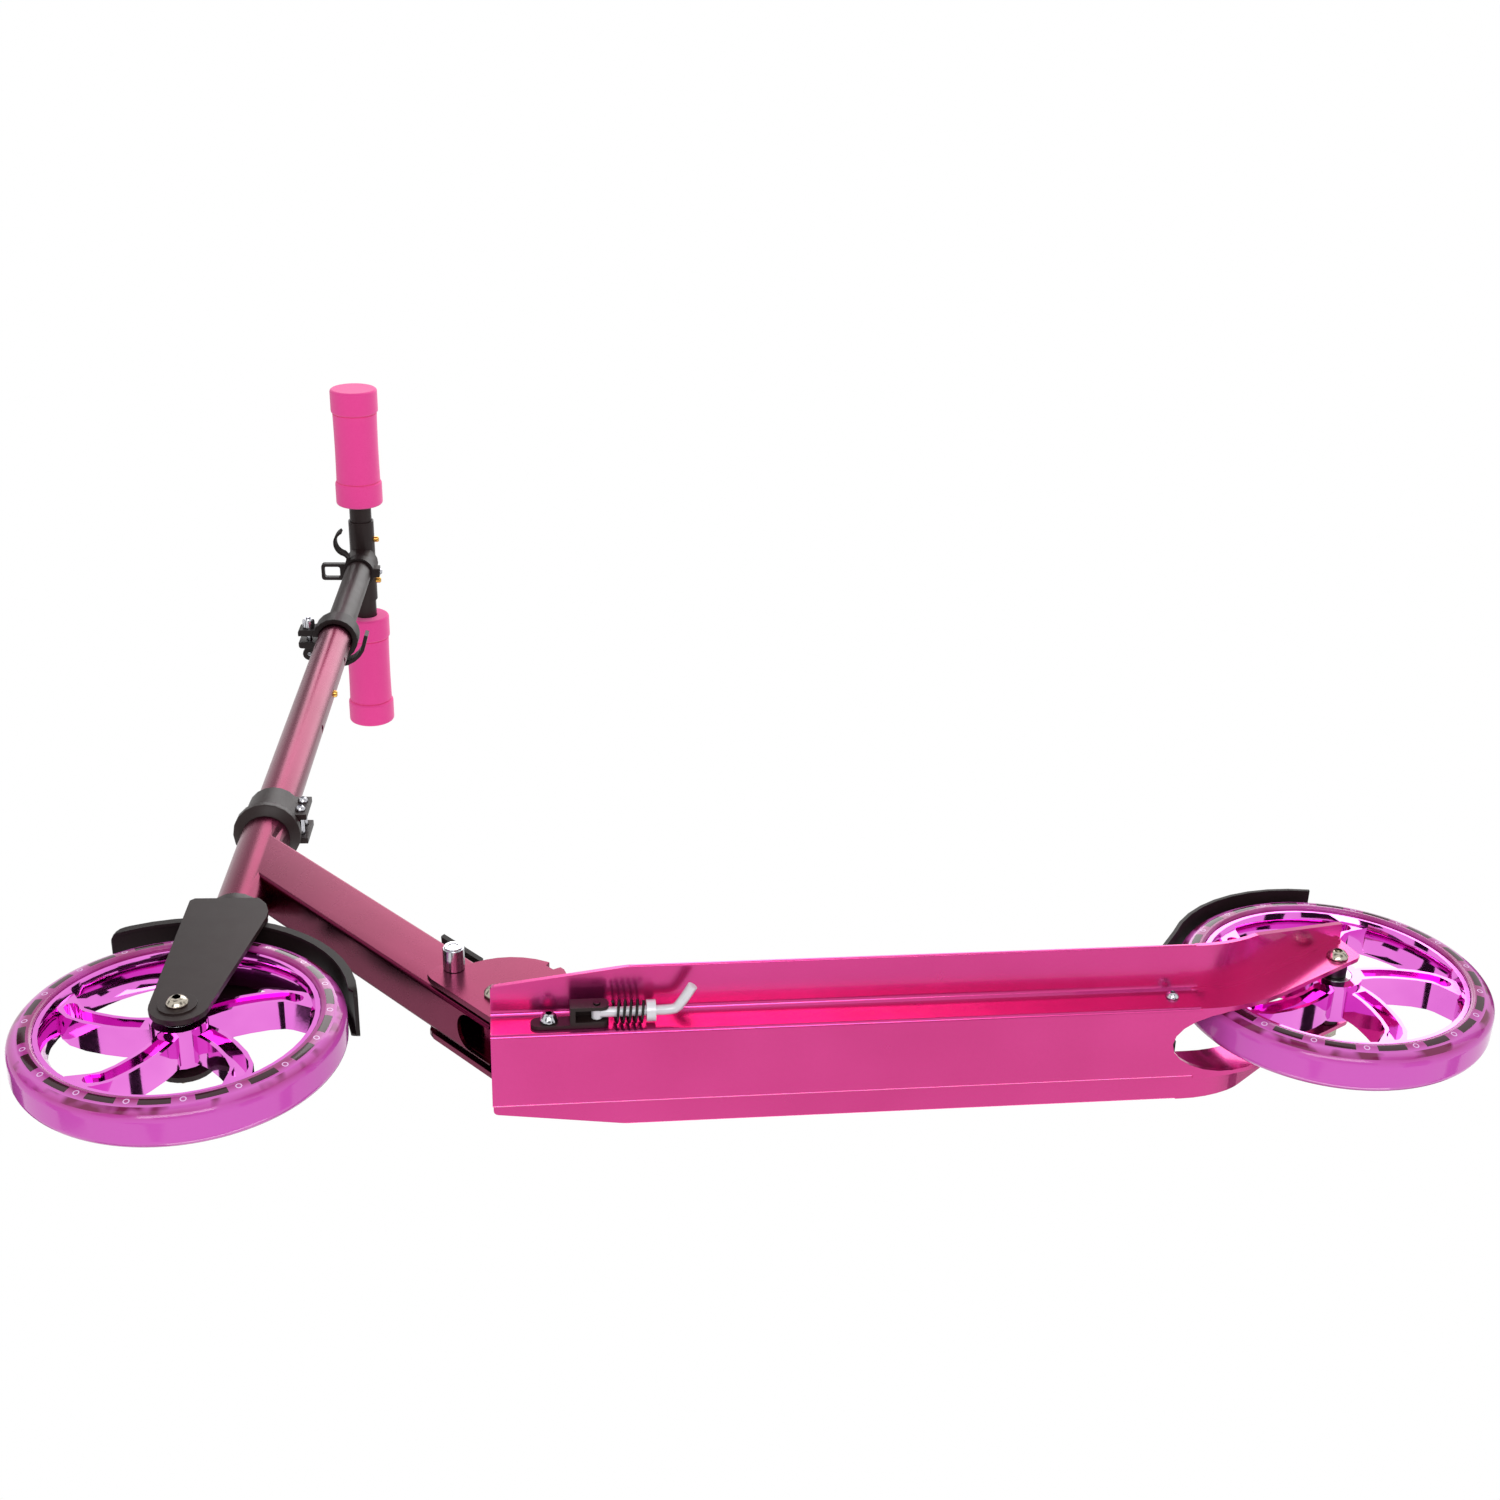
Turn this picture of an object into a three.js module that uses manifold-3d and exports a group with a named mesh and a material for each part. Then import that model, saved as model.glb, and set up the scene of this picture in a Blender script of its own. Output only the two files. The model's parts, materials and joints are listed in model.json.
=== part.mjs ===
// A folding kick scooter with 200 mm wheels, built as separate pieces.
// Millimetres. +X is forward, +Y is the rider's left, +Z is up, and the wheels stand on z = 0.
// The origin is on the ground, half way between the two axles.
//
// Pieces are drawn in four frames:
//   chassis   x from the rear axle, z from the ground
//   neckFrame at the fold pivot, x up along the neck, z square to it
//   steering  on the steering axis at the height of the front axle, z up along the axis
//   quick-release frames at each cam lever: x along the cam pin, y along the bolt
import * as THREE from "three";
import { mergeVertices } from "three/addons/utils/BufferGeometryUtils.js";
import Module from "manifold-3d";

// ---------------------------------------------------------------- driving dimensions
const GAP = 0.3; // clearance between pieces that touch
const RUN = 0.3; // radial clearance of a shaft in its hole

// facets of round pieces
const SIDES_WHEEL = 56;
const SIDES_LARGE = 20;
const SIDES_MID = 14;
const SIDES_SMALL = 10;
const SIDES_PIN = 8;

// wheels
const WHEELBASE = 730.7;
const WHEEL_R = 100;
const TYRE_WIDTH = 30;
const TYRE_DEPTH = 16; // rim to tread
const RIM_WALL = 6.5; // in the middle of its width
const RIM_LIP = 3; // at its two faces
const RIM_WIDTH = 26;
const HUB_R = 17.5;
const HUB_WIDTH = 26;
const SPOKES = 5;
const SPOKE_WIDTH = 13.5;
const SPOKE_DEPTH = 20;
const SPOKE_SWEEP = 27; // degrees that a spoke turns between hub and rim
const SPOKE_PHASE_FRONT = 19; // degrees, the first spoke's outer end above the forward direction
const SPOKE_PHASE_REAR = 52.5;
const GROOVE_WIDTH = 8.4;
const GROOVE_DEPTH = 6.5;
const BEARING_R = 11;
const BEARING_WIDTH = 7;
const AXLE_R = 4;

// deck: an extruded channel with a wing on each side, its rear rails bent up to the axle
const BOX_BOTTOM = 45.2;
const BOX_HALF = 25.4;
const DECK_WALL = 3;
const WING_UNDER = 67.9;
const WING_HALF = 56.7;
const WING_THICK = 3.1;
const DECK_NOSE = 2.5; // the deck's front edge, ahead of the fold pivot
const WING_TAPER = 84.6; // length of the tapered front corner
const WING_NOSE_HALF = 45.5;
const RAIL_BEND_X = 105;
const RAIL_BEND_R = 80;
const RAIL_ANGLE = 30;
const RAIL_LENGTH = 87.7; // straight part behind the bend, along the wing
const RAIL_TIP_CUT = 6;
const RAIL_END_HALF = 36.5;
const RAIL_TAPER_X = 66;
const TOP_REAR_X = 133; // the foot plate ends here, ahead of the brake
const CUTOUT_X = 80;
const CUTOUT_REACH = 44.6;
const TAPE_THICK = 1;
const TAPE_HALF = 50;
const TAPE_INSET = 8;

// fold: two plates in the deck, the neck between them
const PIVOT_BACK = 190.2; // fold pivot behind the front axle
const PIVOT_Z = 98.4;
const PIVOT_R = 4;
const PLATE_THICK = 4;
const PLATE_R = 50.3; // outer radius of the plates about the pivot
const PLATE_REACH = 93; // how far the plates run back inside the deck
const FOLD_ANGLE = 87; // degrees between the riding and the folded position
const LOCK_R = 41.7; // the lock bolt's distance from the pivot when it is seated
const LOCK_TRAVEL = 11.8;
const LOCK_BOLT_R = 3;
const SLOT_REACH = 78; // the deck's slot for the neck runs this far behind the pivot

// neck
const NECK_ANGLE = 52.15; // degrees above the deck
const NECK_HALF = 15;
const NECK_UNDER = 18.5; // pivot to the neck's lower face
const NECK_HEIGHT = 40;
const NECK_WALL = 2.5;
const NECK_TAIL = 17; // the neck's open end, behind the pivot
const NECK_MOUTH = 32; // depth of the round cut in its lower wall

// steering
const LEAN = 2.75; // degrees that the steering axis leans back
const RAKE = 9.6; // front axle ahead of the steering axis
const CUP_WALL = 2.3;
const HEAD_WALL = 2.5;
const HEAD_ABOVE = 14; // head tube above the fork crown
const HEAD_LENGTH = 117;
const CUP_BRIM = 7; // the top cup stands out past the head tube
const CUP_HEIGHT = 12;
const STEERER_WALL = 2.5;
const STEERER_SLIP = 0.4; // radial clearance of the steerer in the column
const STEERER_REACH = 66; // how far the steerer stands above the head tube
const COLLAR_HEIGHT = 31;
const COLLAR_WALL = 4.2;
const CROWN_ABOVE = 33; // fork crown above the tread
const BLADE_THICK = 3.5;
const BLADE_OUTER = 22;
const BLADE_FRONT = 27.2;
const BLADE_REAR = 26.5;
const BLADE_END_R = 18.2;

// column
const COLUMN_R = 15.5;
const COLUMN_WALL = 2.4;
const COLUMN_TOP = 682;
const INNER_WALL = 2;
const INNER_LOW = 455;
const BUTTON_W = 535;
const HOLE_PITCH = 75;
const HEIGHT_DOWN = 70;
const BUTTON_R = 3;
const CLAMP_HEIGHT = 22;
const CLAMP_WALL = 4.7;
const CLAMP_BOLT_OUT = 4; // the clamp bolt outside the clamp ring
const CLAMP_BOLT_R = 2.5;

// handlebar
const BAR_W = 889.5;
const BAR_HALF = 178;
const SLEEVE_HALF = 42;
const SLEEVE_R = 12.75;
const SLEEVE_WALL = 1.35;
const HANDLE_SLIP = 0.4; // radial clearance of a handle tube in the sleeve
const HANDLE_WALL = 1.5;
const HANDLE_INNER = 5;
const GRIP_LENGTH = 118;
const GRIP_R = 21.8;
const GRIP_END_R = 23.2;
const GRIP_END_LENGTH = 24;
const PIN_Y = 22;
const CLIP_W = 853;
const CLIP_HEIGHT = 12;
const HOOK_R = 11.6;
const HOOK_U = 9;
const HOOK_V = 31;

// fenders
const FRONT_FENDER_CLEAR = 8; // fender above the tread
const FRONT_FENDER_SHIFT = 4.5;
const FRONT_FENDER_TIP = 58; // degrees, its front end above the forward direction
const FRONT_FENDER_TAIL = 172;
const FENDER_CORNER = 8;
const FENDER_FLANGE = 3; // depth of the stiffening edge on each side
const FENDER_EDGE = 2.2;
const FENDER_THICK = 2.5;
const FENDER_HALF = 17.6;
const BRAKE_CLEAR = 3.5; // brake above the tread
const BRAKE_PIN_X = 123.5;
const BRAKE_PIN_Z = 60;
const BRAKE_PIN_R = 3;

// kickstand
const STAND_BACK = 60.5; // stand pivot behind the fold pivot
const STAND_Z = 55;
const STAND_OFF = 8.2; // leg's centre from the deck's side wall
const STAND_LEG_R = 3.1;
const STAND_LENGTH = 47;
const STAND_FOOT = 16;
const STAND_TAB = 47.5;

// ---------------------------------------------------------------- derived places
const rad = THREE.MathUtils.degToRad;
const RIM_R = WHEEL_R - TYRE_DEPTH;
const COLUMN_BORE = COLUMN_R - COLUMN_WALL;
const INNER_R = COLUMN_BORE - RUN;
const INNER_BORE = INNER_R - INNER_WALL;
const STEERER_R = COLUMN_BORE - STEERER_SLIP;
const STEERER_BORE = STEERER_R - STEERER_WALL;
const HEAD_BORE = STEERER_R + CUP_WALL;
const HEAD_R = HEAD_BORE + HEAD_WALL;
const CUP_R = HEAD_R + CUP_BRIM;
const CROWN_TOP = WHEEL_R + CROWN_ABOVE;
const HEAD_LOW = CROWN_TOP + HEAD_ABOVE;
const HEAD_HIGH = HEAD_LOW + HEAD_LENGTH;
const STEERER_TOP = HEAD_HIGH + STEERER_REACH;
const COLLAR_R = COLUMN_R + RUN + COLLAR_WALL;
const CLAMP_R = COLUMN_R + RUN + CLAMP_WALL;
const CLAMP_BOLT_U = CLAMP_R + CLAMP_BOLT_OUT;
const SLEEVE_BORE = SLEEVE_R - SLEEVE_WALL;
const HANDLE_R = SLEEVE_BORE - HANDLE_SLIP;
const HANDLE_BORE = HANDLE_R - HANDLE_WALL;
const FRONT_FENDER_R = WHEEL_R + FRONT_FENDER_CLEAR;
const BRAKE_R = WHEEL_R + BRAKE_CLEAR;
const DECK_TOP = WING_UNDER + WING_THICK;
const PIVOT_X = WHEELBASE - PIVOT_BACK;
const DECK_FRONT = PIVOT_X + DECK_NOSE;
const INNER_HALF = BOX_HALF - DECK_WALL;
const PLATE_OUTER = INNER_HALF - GAP;
const PLATE_INNER = PLATE_OUTER - PLATE_THICK;
const NECK_OVER = NECK_HEIGHT - NECK_UNDER;
const STEER_X = WHEELBASE - RAKE * Math.cos(rad(LEAN));
const STEER_Z = WHEEL_R - RAKE * Math.sin(rad(LEAN));
const CUP_TOP = HEAD_HIGH + CUP_HEIGHT;
const COLLAR_LOW = CUP_TOP + 1;
const COLLAR_HIGH = COLLAR_LOW + COLLAR_HEIGHT;
const BLADE_INNER = BLADE_OUTER - BLADE_THICK;
const CLAMP_LOW = COLUMN_TOP - CLAMP_HEIGHT + 1;
const CLAMP_BOLT_W = CLAMP_LOW + CLAMP_HEIGHT / 2;
const STAND_X = PIVOT_X - STAND_BACK;
const STAND_OUT = BOX_HALF + STAND_OFF;

// ---------------------------------------------------------------- finishes
const finish = (color, roughness, metalness) => () =>
  new THREE.MeshStandardMaterial({ color, roughness, metalness });
const candyPink = finish(0xa83a74, 0.25, 0.8);
const chromePink = finish(0xd66fe0, 0.08, 1);
const tyrePink = finish(0xe58ce8, 0.3, 0);
const blackPlastic = finish(0x37322f, 0.6, 0);
const blackPaint = finish(0x3a3230, 0.45, 0.3);
const gripTape = finish(0x1d1b1b, 0.95, 0);
const foamPink = finish(0xf04ba5, 0.9, 0);
const steel = finish(0xb9b2a6, 0.25, 1);
const zinc = finish(0xcfcdd2, 0.3, 1);
const brass = finish(0xe0b050, 0.3, 1);
const darkSteel = finish(0x2c2a29, 0.5, 0.8);
const whiteZinc = finish(0xe9e7ea, 0.35, 0.3);

// ---------------------------------------------------------------- solids
const wasm = await Module();
wasm.setup();

function asSolid(geometry) {
  const bare = geometry.clone();
  bare.deleteAttribute("normal");
  bare.deleteAttribute("uv");
  const merged = mergeVertices(bare, 1e-4);
  const triVerts = new Uint32Array(merged.index.array);
  const made = new wasm.Manifold(
    new wasm.Mesh({ numProp: 3, vertProperties: merged.attributes.position.array, triVerts }),
  );
  if (made.volume() > 0) return made;
  for (let i = 0; i < triVerts.length; i += 3) {
    const first = triVerts[i];
    triVerts[i] = triVerts[i + 1];
    triVerts[i + 1] = first;
  }
  return new wasm.Manifold(
    new wasm.Mesh({ numProp: 3, vertProperties: merged.attributes.position.array, triVerts }),
  );
}

function asGeometry(made) {
  const mesh = made.getMesh();
  const geometry = new THREE.BufferGeometry();
  geometry.setAttribute("position", new THREE.BufferAttribute(mesh.vertProperties, 3));
  geometry.setIndex(new THREE.BufferAttribute(mesh.triVerts, 1));
  geometry.computeVertexNormals();
  return geometry;
}

const join = (...shapes) =>
  asGeometry(shapes.map(asSolid).reduce((whole, next) => whole.add(next)));
const cut = (shape, ...tools) =>
  asGeometry(tools.map(asSolid).reduce((left, tool) => left.subtract(tool), asSolid(shape)));
const common = (first, second) => asGeometry(asSolid(first).intersect(asSolid(second)));

// ---------------------------------------------------------------- plain shapes
const block = (x0, x1, y0, y1, z0, z1) =>
  new THREE.BoxGeometry(x1 - x0, y1 - y0, z1 - z0).translate(
    (x0 + x1) / 2,
    (y0 + y1) / 2,
    (z0 + z1) / 2,
  );
const rodY = (r, y0, y1, x = 0, z = 0, sides = SIDES_SMALL) =>
  new THREE.CylinderGeometry(r, r, y1 - y0, sides).translate(x, (y0 + y1) / 2, z);
const rodZ = (r, z0, z1, x = 0, y = 0, sides = SIDES_LARGE) =>
  new THREE.CylinderGeometry(r, r, z1 - z0, sides)
    .rotateX(Math.PI / 2)
    .translate(x, y, (z0 + z1) / 2);
const rodX = (r, x0, x1, y = 0, z = 0, sides = SIDES_SMALL) =>
  new THREE.CylinderGeometry(r, r, x1 - x0, sides)
    .rotateZ(Math.PI / 2)
    .translate((x0 + x1) / 2, y, z);
const turnedY = (profile, sides) =>
  new THREE.LatheGeometry(profile.map(([r, y]) => new THREE.Vector2(r, y)), sides);
const ringY = (rIn, rOut, y0, y1, x = 0, z = 0, sides = SIDES_MID) =>
  turnedY([[rIn, y0], [rOut, y0], [rOut, y1], [rIn, y1], [rIn, y0]], sides).translate(x, 0, z);
const turnedZ = (profile, sides) => turnedY(profile, sides).rotateX(Math.PI / 2);
const ringZ = (rIn, rOut, z0, z1, sides = SIDES_LARGE) =>
  turnedZ([[rIn, z0], [rOut, z0], [rOut, z1], [rIn, z1], [rIn, z0]], sides);

// A shape through corner points [x, y, radius], each corner rounded with its radius.
function roundedShape(corners, steps = 3) {
  const points = [];
  corners.forEach(([x, y, radius], i) => {
    const corner = new THREE.Vector2(x, y);
    const [px, py] = corners[(i + corners.length - 1) % corners.length];
    const [nx, ny] = corners[(i + 1) % corners.length];
    const back = new THREE.Vector2(px, py).sub(corner).normalize();
    const ahead = new THREE.Vector2(nx, ny).sub(corner).normalize();
    if (!radius) {
      points.push(corner);
      return;
    }
    const half = Math.acos(THREE.MathUtils.clamp(back.dot(ahead), -1, 1)) / 2;
    const setback = radius / Math.tan(half);
    const centre = back
      .clone()
      .add(ahead)
      .normalize()
      .multiplyScalar(radius / Math.sin(half))
      .add(corner);
    const from = back.clone().multiplyScalar(setback).add(corner).sub(centre);
    const to = ahead.clone().multiplyScalar(setback).add(corner).sub(centre);
    const turn = Math.atan2(from.x * to.y - from.y * to.x, from.dot(to));
    for (let step = 0; step <= steps; step += 1) {
      points.push(from.clone().rotateAround(new THREE.Vector2(), (turn * step) / steps).add(centre));
    }
  });
  return new THREE.Shape(points);
}
const arc = (x, y, r, a0, a1, steps) =>
  Array.from({ length: steps + 1 }, (_, i) => {
    const a = rad(a0 + ((a1 - a0) * i) / steps);
    return [x + r * Math.cos(a), y + r * Math.sin(a)];
  });
const outline = (points) => new THREE.Shape(points.map(([x, y]) => new THREE.Vector2(x, y)));
const thick = (shape, depth) =>
  new THREE.ExtrudeGeometry(shape, { depth, bevelEnabled: false, curveSegments: 6 });
// A shape drawn in x and z, between y0 and y1.
const slabY = (shape, y0, y1) => thick(shape, y1 - y0).rotateX(Math.PI / 2).translate(0, y1, 0);
// A shape drawn in x and y, between z0 and z1.
const slabZ = (shape, z0, z1) => thick(shape, z1 - z0).translate(0, 0, z0);
// A shape drawn in y and z, between x0 and x1.
const acrossX = new THREE.Matrix4().makeBasis(
  new THREE.Vector3(0, 1, 0),
  new THREE.Vector3(0, 0, 1),
  new THREE.Vector3(1, 0, 0),
);
const slabX = (shape, x0, x1) => thick(shape, x1 - x0).applyMatrix4(acrossX).translate(x0, 0, 0);

// The outline of a strip of even thickness along a smooth line of points.
function stripShape(points, thickness, steps) {
  const line = new THREE.CatmullRomCurve3(points.map(([x, y]) => new THREE.Vector3(x, y, 0)));
  const sides = [[], []];
  for (let i = 0; i <= steps; i += 1) {
    const at = line.getPoint(i / steps);
    const along = line.getTangent(i / steps);
    [-1, 1].forEach((side, k) => {
      const off = (side * thickness) / 2;
      sides[k].push([at.x - along.y * off, at.y + along.x * off]);
    });
  }
  return outline([...sides[0], ...sides[1].reverse()]);
}

// A domed button head with a hex socket, its seat at y = 0 and its dome towards +y.
const domeHead = (r, height, socket) =>
  cut(
    turnedY([[0, 0], [r, 0], [r, height * 0.25], [r * 0.72, height * 0.8], [r * 0.4, height], [0, height]], SIDES_SMALL),
    rodY(socket, height - 2, height + 1, 0, 0, 6),
  );
const hexNut = (across, y0, y1, bore) =>
  cut(rodY(across / Math.sqrt(3), y0, y1, 0, 0, 6), rodY(bore, y0 - 1, y1 + 1));

// ---------------------------------------------------------------- the tree
const scooter = new THREE.Group();
const chassis = new THREE.Group();
chassis.position.x = -WHEELBASE / 2;
scooter.add(chassis);

const neckFrame = new THREE.Group();
neckFrame.position.set(PIVOT_X, 0, PIVOT_Z);
neckFrame.rotation.y = -rad(NECK_ANGLE);
chassis.add(neckFrame);

const steering = new THREE.Group();
steering.position.set(STEER_X, 0, STEER_Z);
steering.rotation.y = -rad(LEAN);
chassis.add(steering);

function place(frame, name, geometry, material) {
  const mesh = new THREE.Mesh(geometry, material());
  mesh.name = name;
  frame.add(mesh);
  return mesh;
}

// ---------------------------------------------------------------- wheels
function rimGeometry(phase) {
  const spokeRoot = HUB_R - 3;
  const spokeEnd = RIM_R - 2;
  const polar = (r, degrees) => [r * Math.cos(rad(degrees)), r * Math.sin(rad(degrees))];
  const face = RIM_WIDTH / 2;
  const ring = turnedY([
    [RIM_R - RIM_LIP, -face],
    [RIM_R, -face],
    [RIM_R, face],
    [RIM_R - RIM_LIP, face],
    [RIM_R - RIM_WALL, face / 2],
    [RIM_R - RIM_WALL, -face / 2],
    [RIM_R - RIM_LIP, -face],
  ], SIDES_WHEEL);
  const hub = rodY(HUB_R, -HUB_WIDTH / 2, HUB_WIDTH / 2, 0, 0, SIDES_LARGE);
  let rim = join(ring, hub);
  for (let i = 0; i < SPOKES; i += 1) {
    const end = phase + (360 / SPOKES) * i;
    const line = [
      polar(spokeRoot, end - SPOKE_SWEEP),
      polar((spokeRoot + spokeEnd) * 0.33, end - SPOKE_SWEEP * 0.85),
      polar((spokeRoot + spokeEnd) * 0.68, end - SPOKE_SWEEP * 0.42),
      polar(spokeEnd, end),
    ];
    const groove = [
      polar(HUB_R + 4, end - SPOKE_SWEEP * 0.97),
      polar((spokeRoot + spokeEnd) * 0.4, end - SPOKE_SWEEP * 0.76),
      polar((spokeRoot + spokeEnd) * 0.68, end - SPOKE_SWEEP * 0.42),
      polar(RIM_R - RIM_WALL - 2 - GROOVE_WIDTH / 2, end - SPOKE_SWEEP * 0.24),
    ];
    const spoke = common(
      slabY(stripShape(line, SPOKE_WIDTH, 9), -SPOKE_DEPTH / 2, SPOKE_DEPTH / 2),
      rodY(RIM_R - 1, -SPOKE_DEPTH, SPOKE_DEPTH, 0, 0, SIDES_WHEEL),
    );
    const floor = SPOKE_DEPTH / 2 - GROOVE_DEPTH;
    const channel = stripShape(groove, GROOVE_WIDTH, 8);
    rim = cut(
      join(rim, spoke),
      ...[[floor, HUB_WIDTH], [-HUB_WIDTH, -floor]].flatMap((span) => [
        slabY(channel, ...span),
        rodY(GROOVE_WIDTH / 2, ...span, ...groove.at(-1), SIDES_MID),
      ]),
    );
  }
  const pocket = HUB_WIDTH / 2 - BEARING_WIDTH - GAP;
  return cut(
    rim,
    rodY(BEARING_R - 2, -HUB_WIDTH, HUB_WIDTH, 0, 0, SIDES_MID),
    rodY(BEARING_R + GAP, pocket, HUB_WIDTH, 0, 0, SIDES_LARGE),
    rodY(BEARING_R + GAP, -HUB_WIDTH, -pocket, 0, 0, SIDES_LARGE),
  );
}

function tyreGeometry() {
  const half = TYRE_WIDTH / 2;
  const seat = RIM_R + GAP;
  const side = [
    [seat, half - 2],
    [seat + 5, half],
    [WHEEL_R - 4.2, half - 2.4],
    [WHEEL_R, half - 10],
  ];
  const other = side.map(([r, y]) => [r, -y]);
  return turnedY([...other, ...side.reverse(), other[0]], SIDES_WHEEL);
}

// A wheel with its bearings; inner and outer are the inner and outer faces of the fork or the rails.
function addWheel(frame, side, phase, x, z, inner, outer) {
  const hold = new THREE.Group();
  hold.position.set(x, 0, z);
  frame.add(hold);
  const face = HUB_WIDTH / 2;
  place(hold, `${side}_rim`, rimGeometry(phase), chromePink);
  place(hold, `${side}_tyre`, tyreGeometry(), tyrePink);
  const bore = AXLE_R + RUN;
  const inside = face - BEARING_WIDTH;
  [["left", 1], ["right", -1]].forEach(([name, sign]) => {
    const between = (near, far) => (sign > 0 ? [near, far] : [-far, -near]);
    place(hold, `${side}_bearing_${name}`, ringY(bore, BEARING_R, ...between(inside, face)), zinc);
    const reach = between(face + GAP, inner - GAP);
    place(hold, `${side}_axle_spacer_${name}`, ringY(bore, AXLE_R + 3.5, ...reach), darkSteel);
  });
  const spacer = ringY(bore, AXLE_R + 2.2, -inside + GAP, inside - GAP);
  place(hold, `${side}_bearing_spacer`, spacer, zinc);
  const head = domeHead(6.9, 4.5, 2.6).translate(0, outer + GAP, 0);
  const nutFace = -outer - GAP;
  const shank = rodY(AXLE_R, nutFace - 8, outer + GAP + 0.5);
  place(hold, `${side}_axle_bolt`, join(head, shank), steel);
  place(hold, `${side}_axle_nut`, hexNut(13, nutFace - 6.5, nutFace, AXLE_R + RUN), steel);
}

addWheel(chassis, "rear", SPOKE_PHASE_REAR, 0, WHEEL_R, INNER_HALF, BOX_HALF);
addWheel(steering, "front", SPOKE_PHASE_FRONT + LEAN, RAKE, 0, BLADE_INNER, BLADE_OUTER + 1);

// ---------------------------------------------------------------- deck
// A point of the bent rail: along it from the bend's start, and off its wing's underside.
function railPoint(along, off) {
  const bend = rad(RAIL_ANGLE) * RAIL_BEND_R;
  const turn = THREE.MathUtils.clamp(along / RAIL_BEND_R, 0, rad(RAIL_ANGLE));
  const straight = Math.max(along - bend, 0);
  const before = Math.min(along, 0);
  const r = RAIL_BEND_R - off;
  return [
    RAIL_BEND_X - before - r * Math.sin(turn) - straight * Math.cos(turn),
    WING_UNDER + RAIL_BEND_R - r * Math.cos(turn) + straight * Math.sin(turn),
  ];
}

function deckGeometry() {
  const wallDrop = WING_UNDER - BOX_BOTTOM;
  const half = [
    [BOX_HALF, BOX_BOTTOM, 2.5],
    [BOX_HALF, WING_UNDER, 4.5],
    [WING_HALF, WING_UNDER, 1],
    [WING_HALF, DECK_TOP, 1],
  ];
  const section = roundedShape([...half, ...half.map(([y, z, r]) => [-y, z, r]).reverse()]);
  const hollow = roundedShape([
    [-INNER_HALF, BOX_BOTTOM + DECK_WALL, 0],
    [INNER_HALF, BOX_BOTTOM + DECK_WALL, 0],
    [INNER_HALF, WING_UNDER, 0],
    [-INNER_HALF, WING_UNDER, 0],
  ]);
  section.holes.push(hollow);
  const straight = slabX(section, RAIL_BEND_X, DECK_FRONT);

  const bendEnd = rad(RAIL_ANGLE) * RAIL_BEND_R;
  const end = bendEnd + RAIL_LENGTH;
  const stops = [-4, 0, 0.2, 0.4, 0.6, 0.8, 1].map((share, i) => (i ? share * bendEnd : share));
  const wall = outline([
    ...stops.map((along) => railPoint(along, -wallDrop)),
    railPoint(end - RAIL_TIP_CUT - 5, -wallDrop),
    railPoint(end - RAIL_TIP_CUT - 1, -wallDrop + 1.5),
    railPoint(end - RAIL_TIP_CUT + 0.5, -wallDrop + 5),
    railPoint(end, 1),
    ...stops.map((along) => railPoint(along, 1)).reverse(),
  ]);
  const wing = outline([
    ...stops.map((along) => railPoint(along, 0)),
    railPoint(end, 0),
    railPoint(end, WING_THICK),
    ...stops.map((along) => railPoint(along, WING_THICK)).reverse(),
  ]);
  const fillet = outline([
    ...stops.map((along) => railPoint(along, -2.2)),
    railPoint(end - 2, -2.2),
    railPoint(end - 2, 1),
    ...stops.map((along) => railPoint(along, 1)).reverse(),
  ]);
  const bellyStops = stops.filter((along) => along < CUTOUT_REACH / 2);
  const belly = outline([
    ...bellyStops.map((along) => railPoint(along, -wallDrop)),
    ...bellyStops.map((along) => railPoint(along, -wallDrop + DECK_WALL)).reverse(),
  ]);
  const rails = [1, -1].flatMap((sign) => {
    const span = (near, far) => (sign > 0 ? [near, far] : [-far, -near]);
    return [
      slabY(wall, ...span(INNER_HALF, BOX_HALF)),
      slabY(wing, ...span(INNER_HALF, WING_HALF)),
      slabY(fillet, ...span(INNER_HALF, BOX_HALF + 2.2)),
    ];
  });

  const planHalf = [
    [DECK_FRONT, WING_NOSE_HALF, 3],
    [DECK_FRONT - WING_TAPER, WING_HALF, 20],
    [RAIL_TAPER_X, WING_HALF, 30],
    [railPoint(end, 0)[0], RAIL_END_HALF, 0],
    [railPoint(end, 0)[0] - 20, RAIL_END_HALF, 0],
  ];
  const plan = roundedShape([...planHalf, ...planHalf.map(([x, y, r]) => [x, -y, r]).reverse()]);
  const body = common(join(straight, slabY(belly, -BOX_HALF, BOX_HALF), ...rails), slabZ(plan, 0, 2 * WHEEL_R));

  const cutout = outline([
    ...arc(0, 0, 1, -90, 90, 12).map(([c, s]) => [CUTOUT_X + CUTOUT_REACH * c, INNER_HALF * s]),
    [0, INNER_HALF],
    [0, -INNER_HALF],
  ]);
  return cut(
    body,
    slabZ(cutout, 0, BOX_BOTTOM + 3 * DECK_WALL),
    block(0, TOP_REAR_X, -INNER_HALF, INNER_HALF, WING_UNDER - 2, DECK_TOP + 1),
    block(PIVOT_X - SLOT_REACH, DECK_FRONT + 1, -INNER_HALF, INNER_HALF, WING_UNDER - 2, DECK_TOP + 1),
    rodY(AXLE_R + RUN, -WING_HALF, WING_HALF, 0, WHEEL_R),
    rodY(BRAKE_PIN_R + RUN, -WING_HALF, WING_HALF, BRAKE_PIN_X, BRAKE_PIN_Z),
    rodY(2.5 + RUN, 0, WING_HALF, STAND_X + STAND_TAB - 19, STAND_Z + 2),
  );
}
place(chassis, "deck", deckGeometry(), candyPink);

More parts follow.
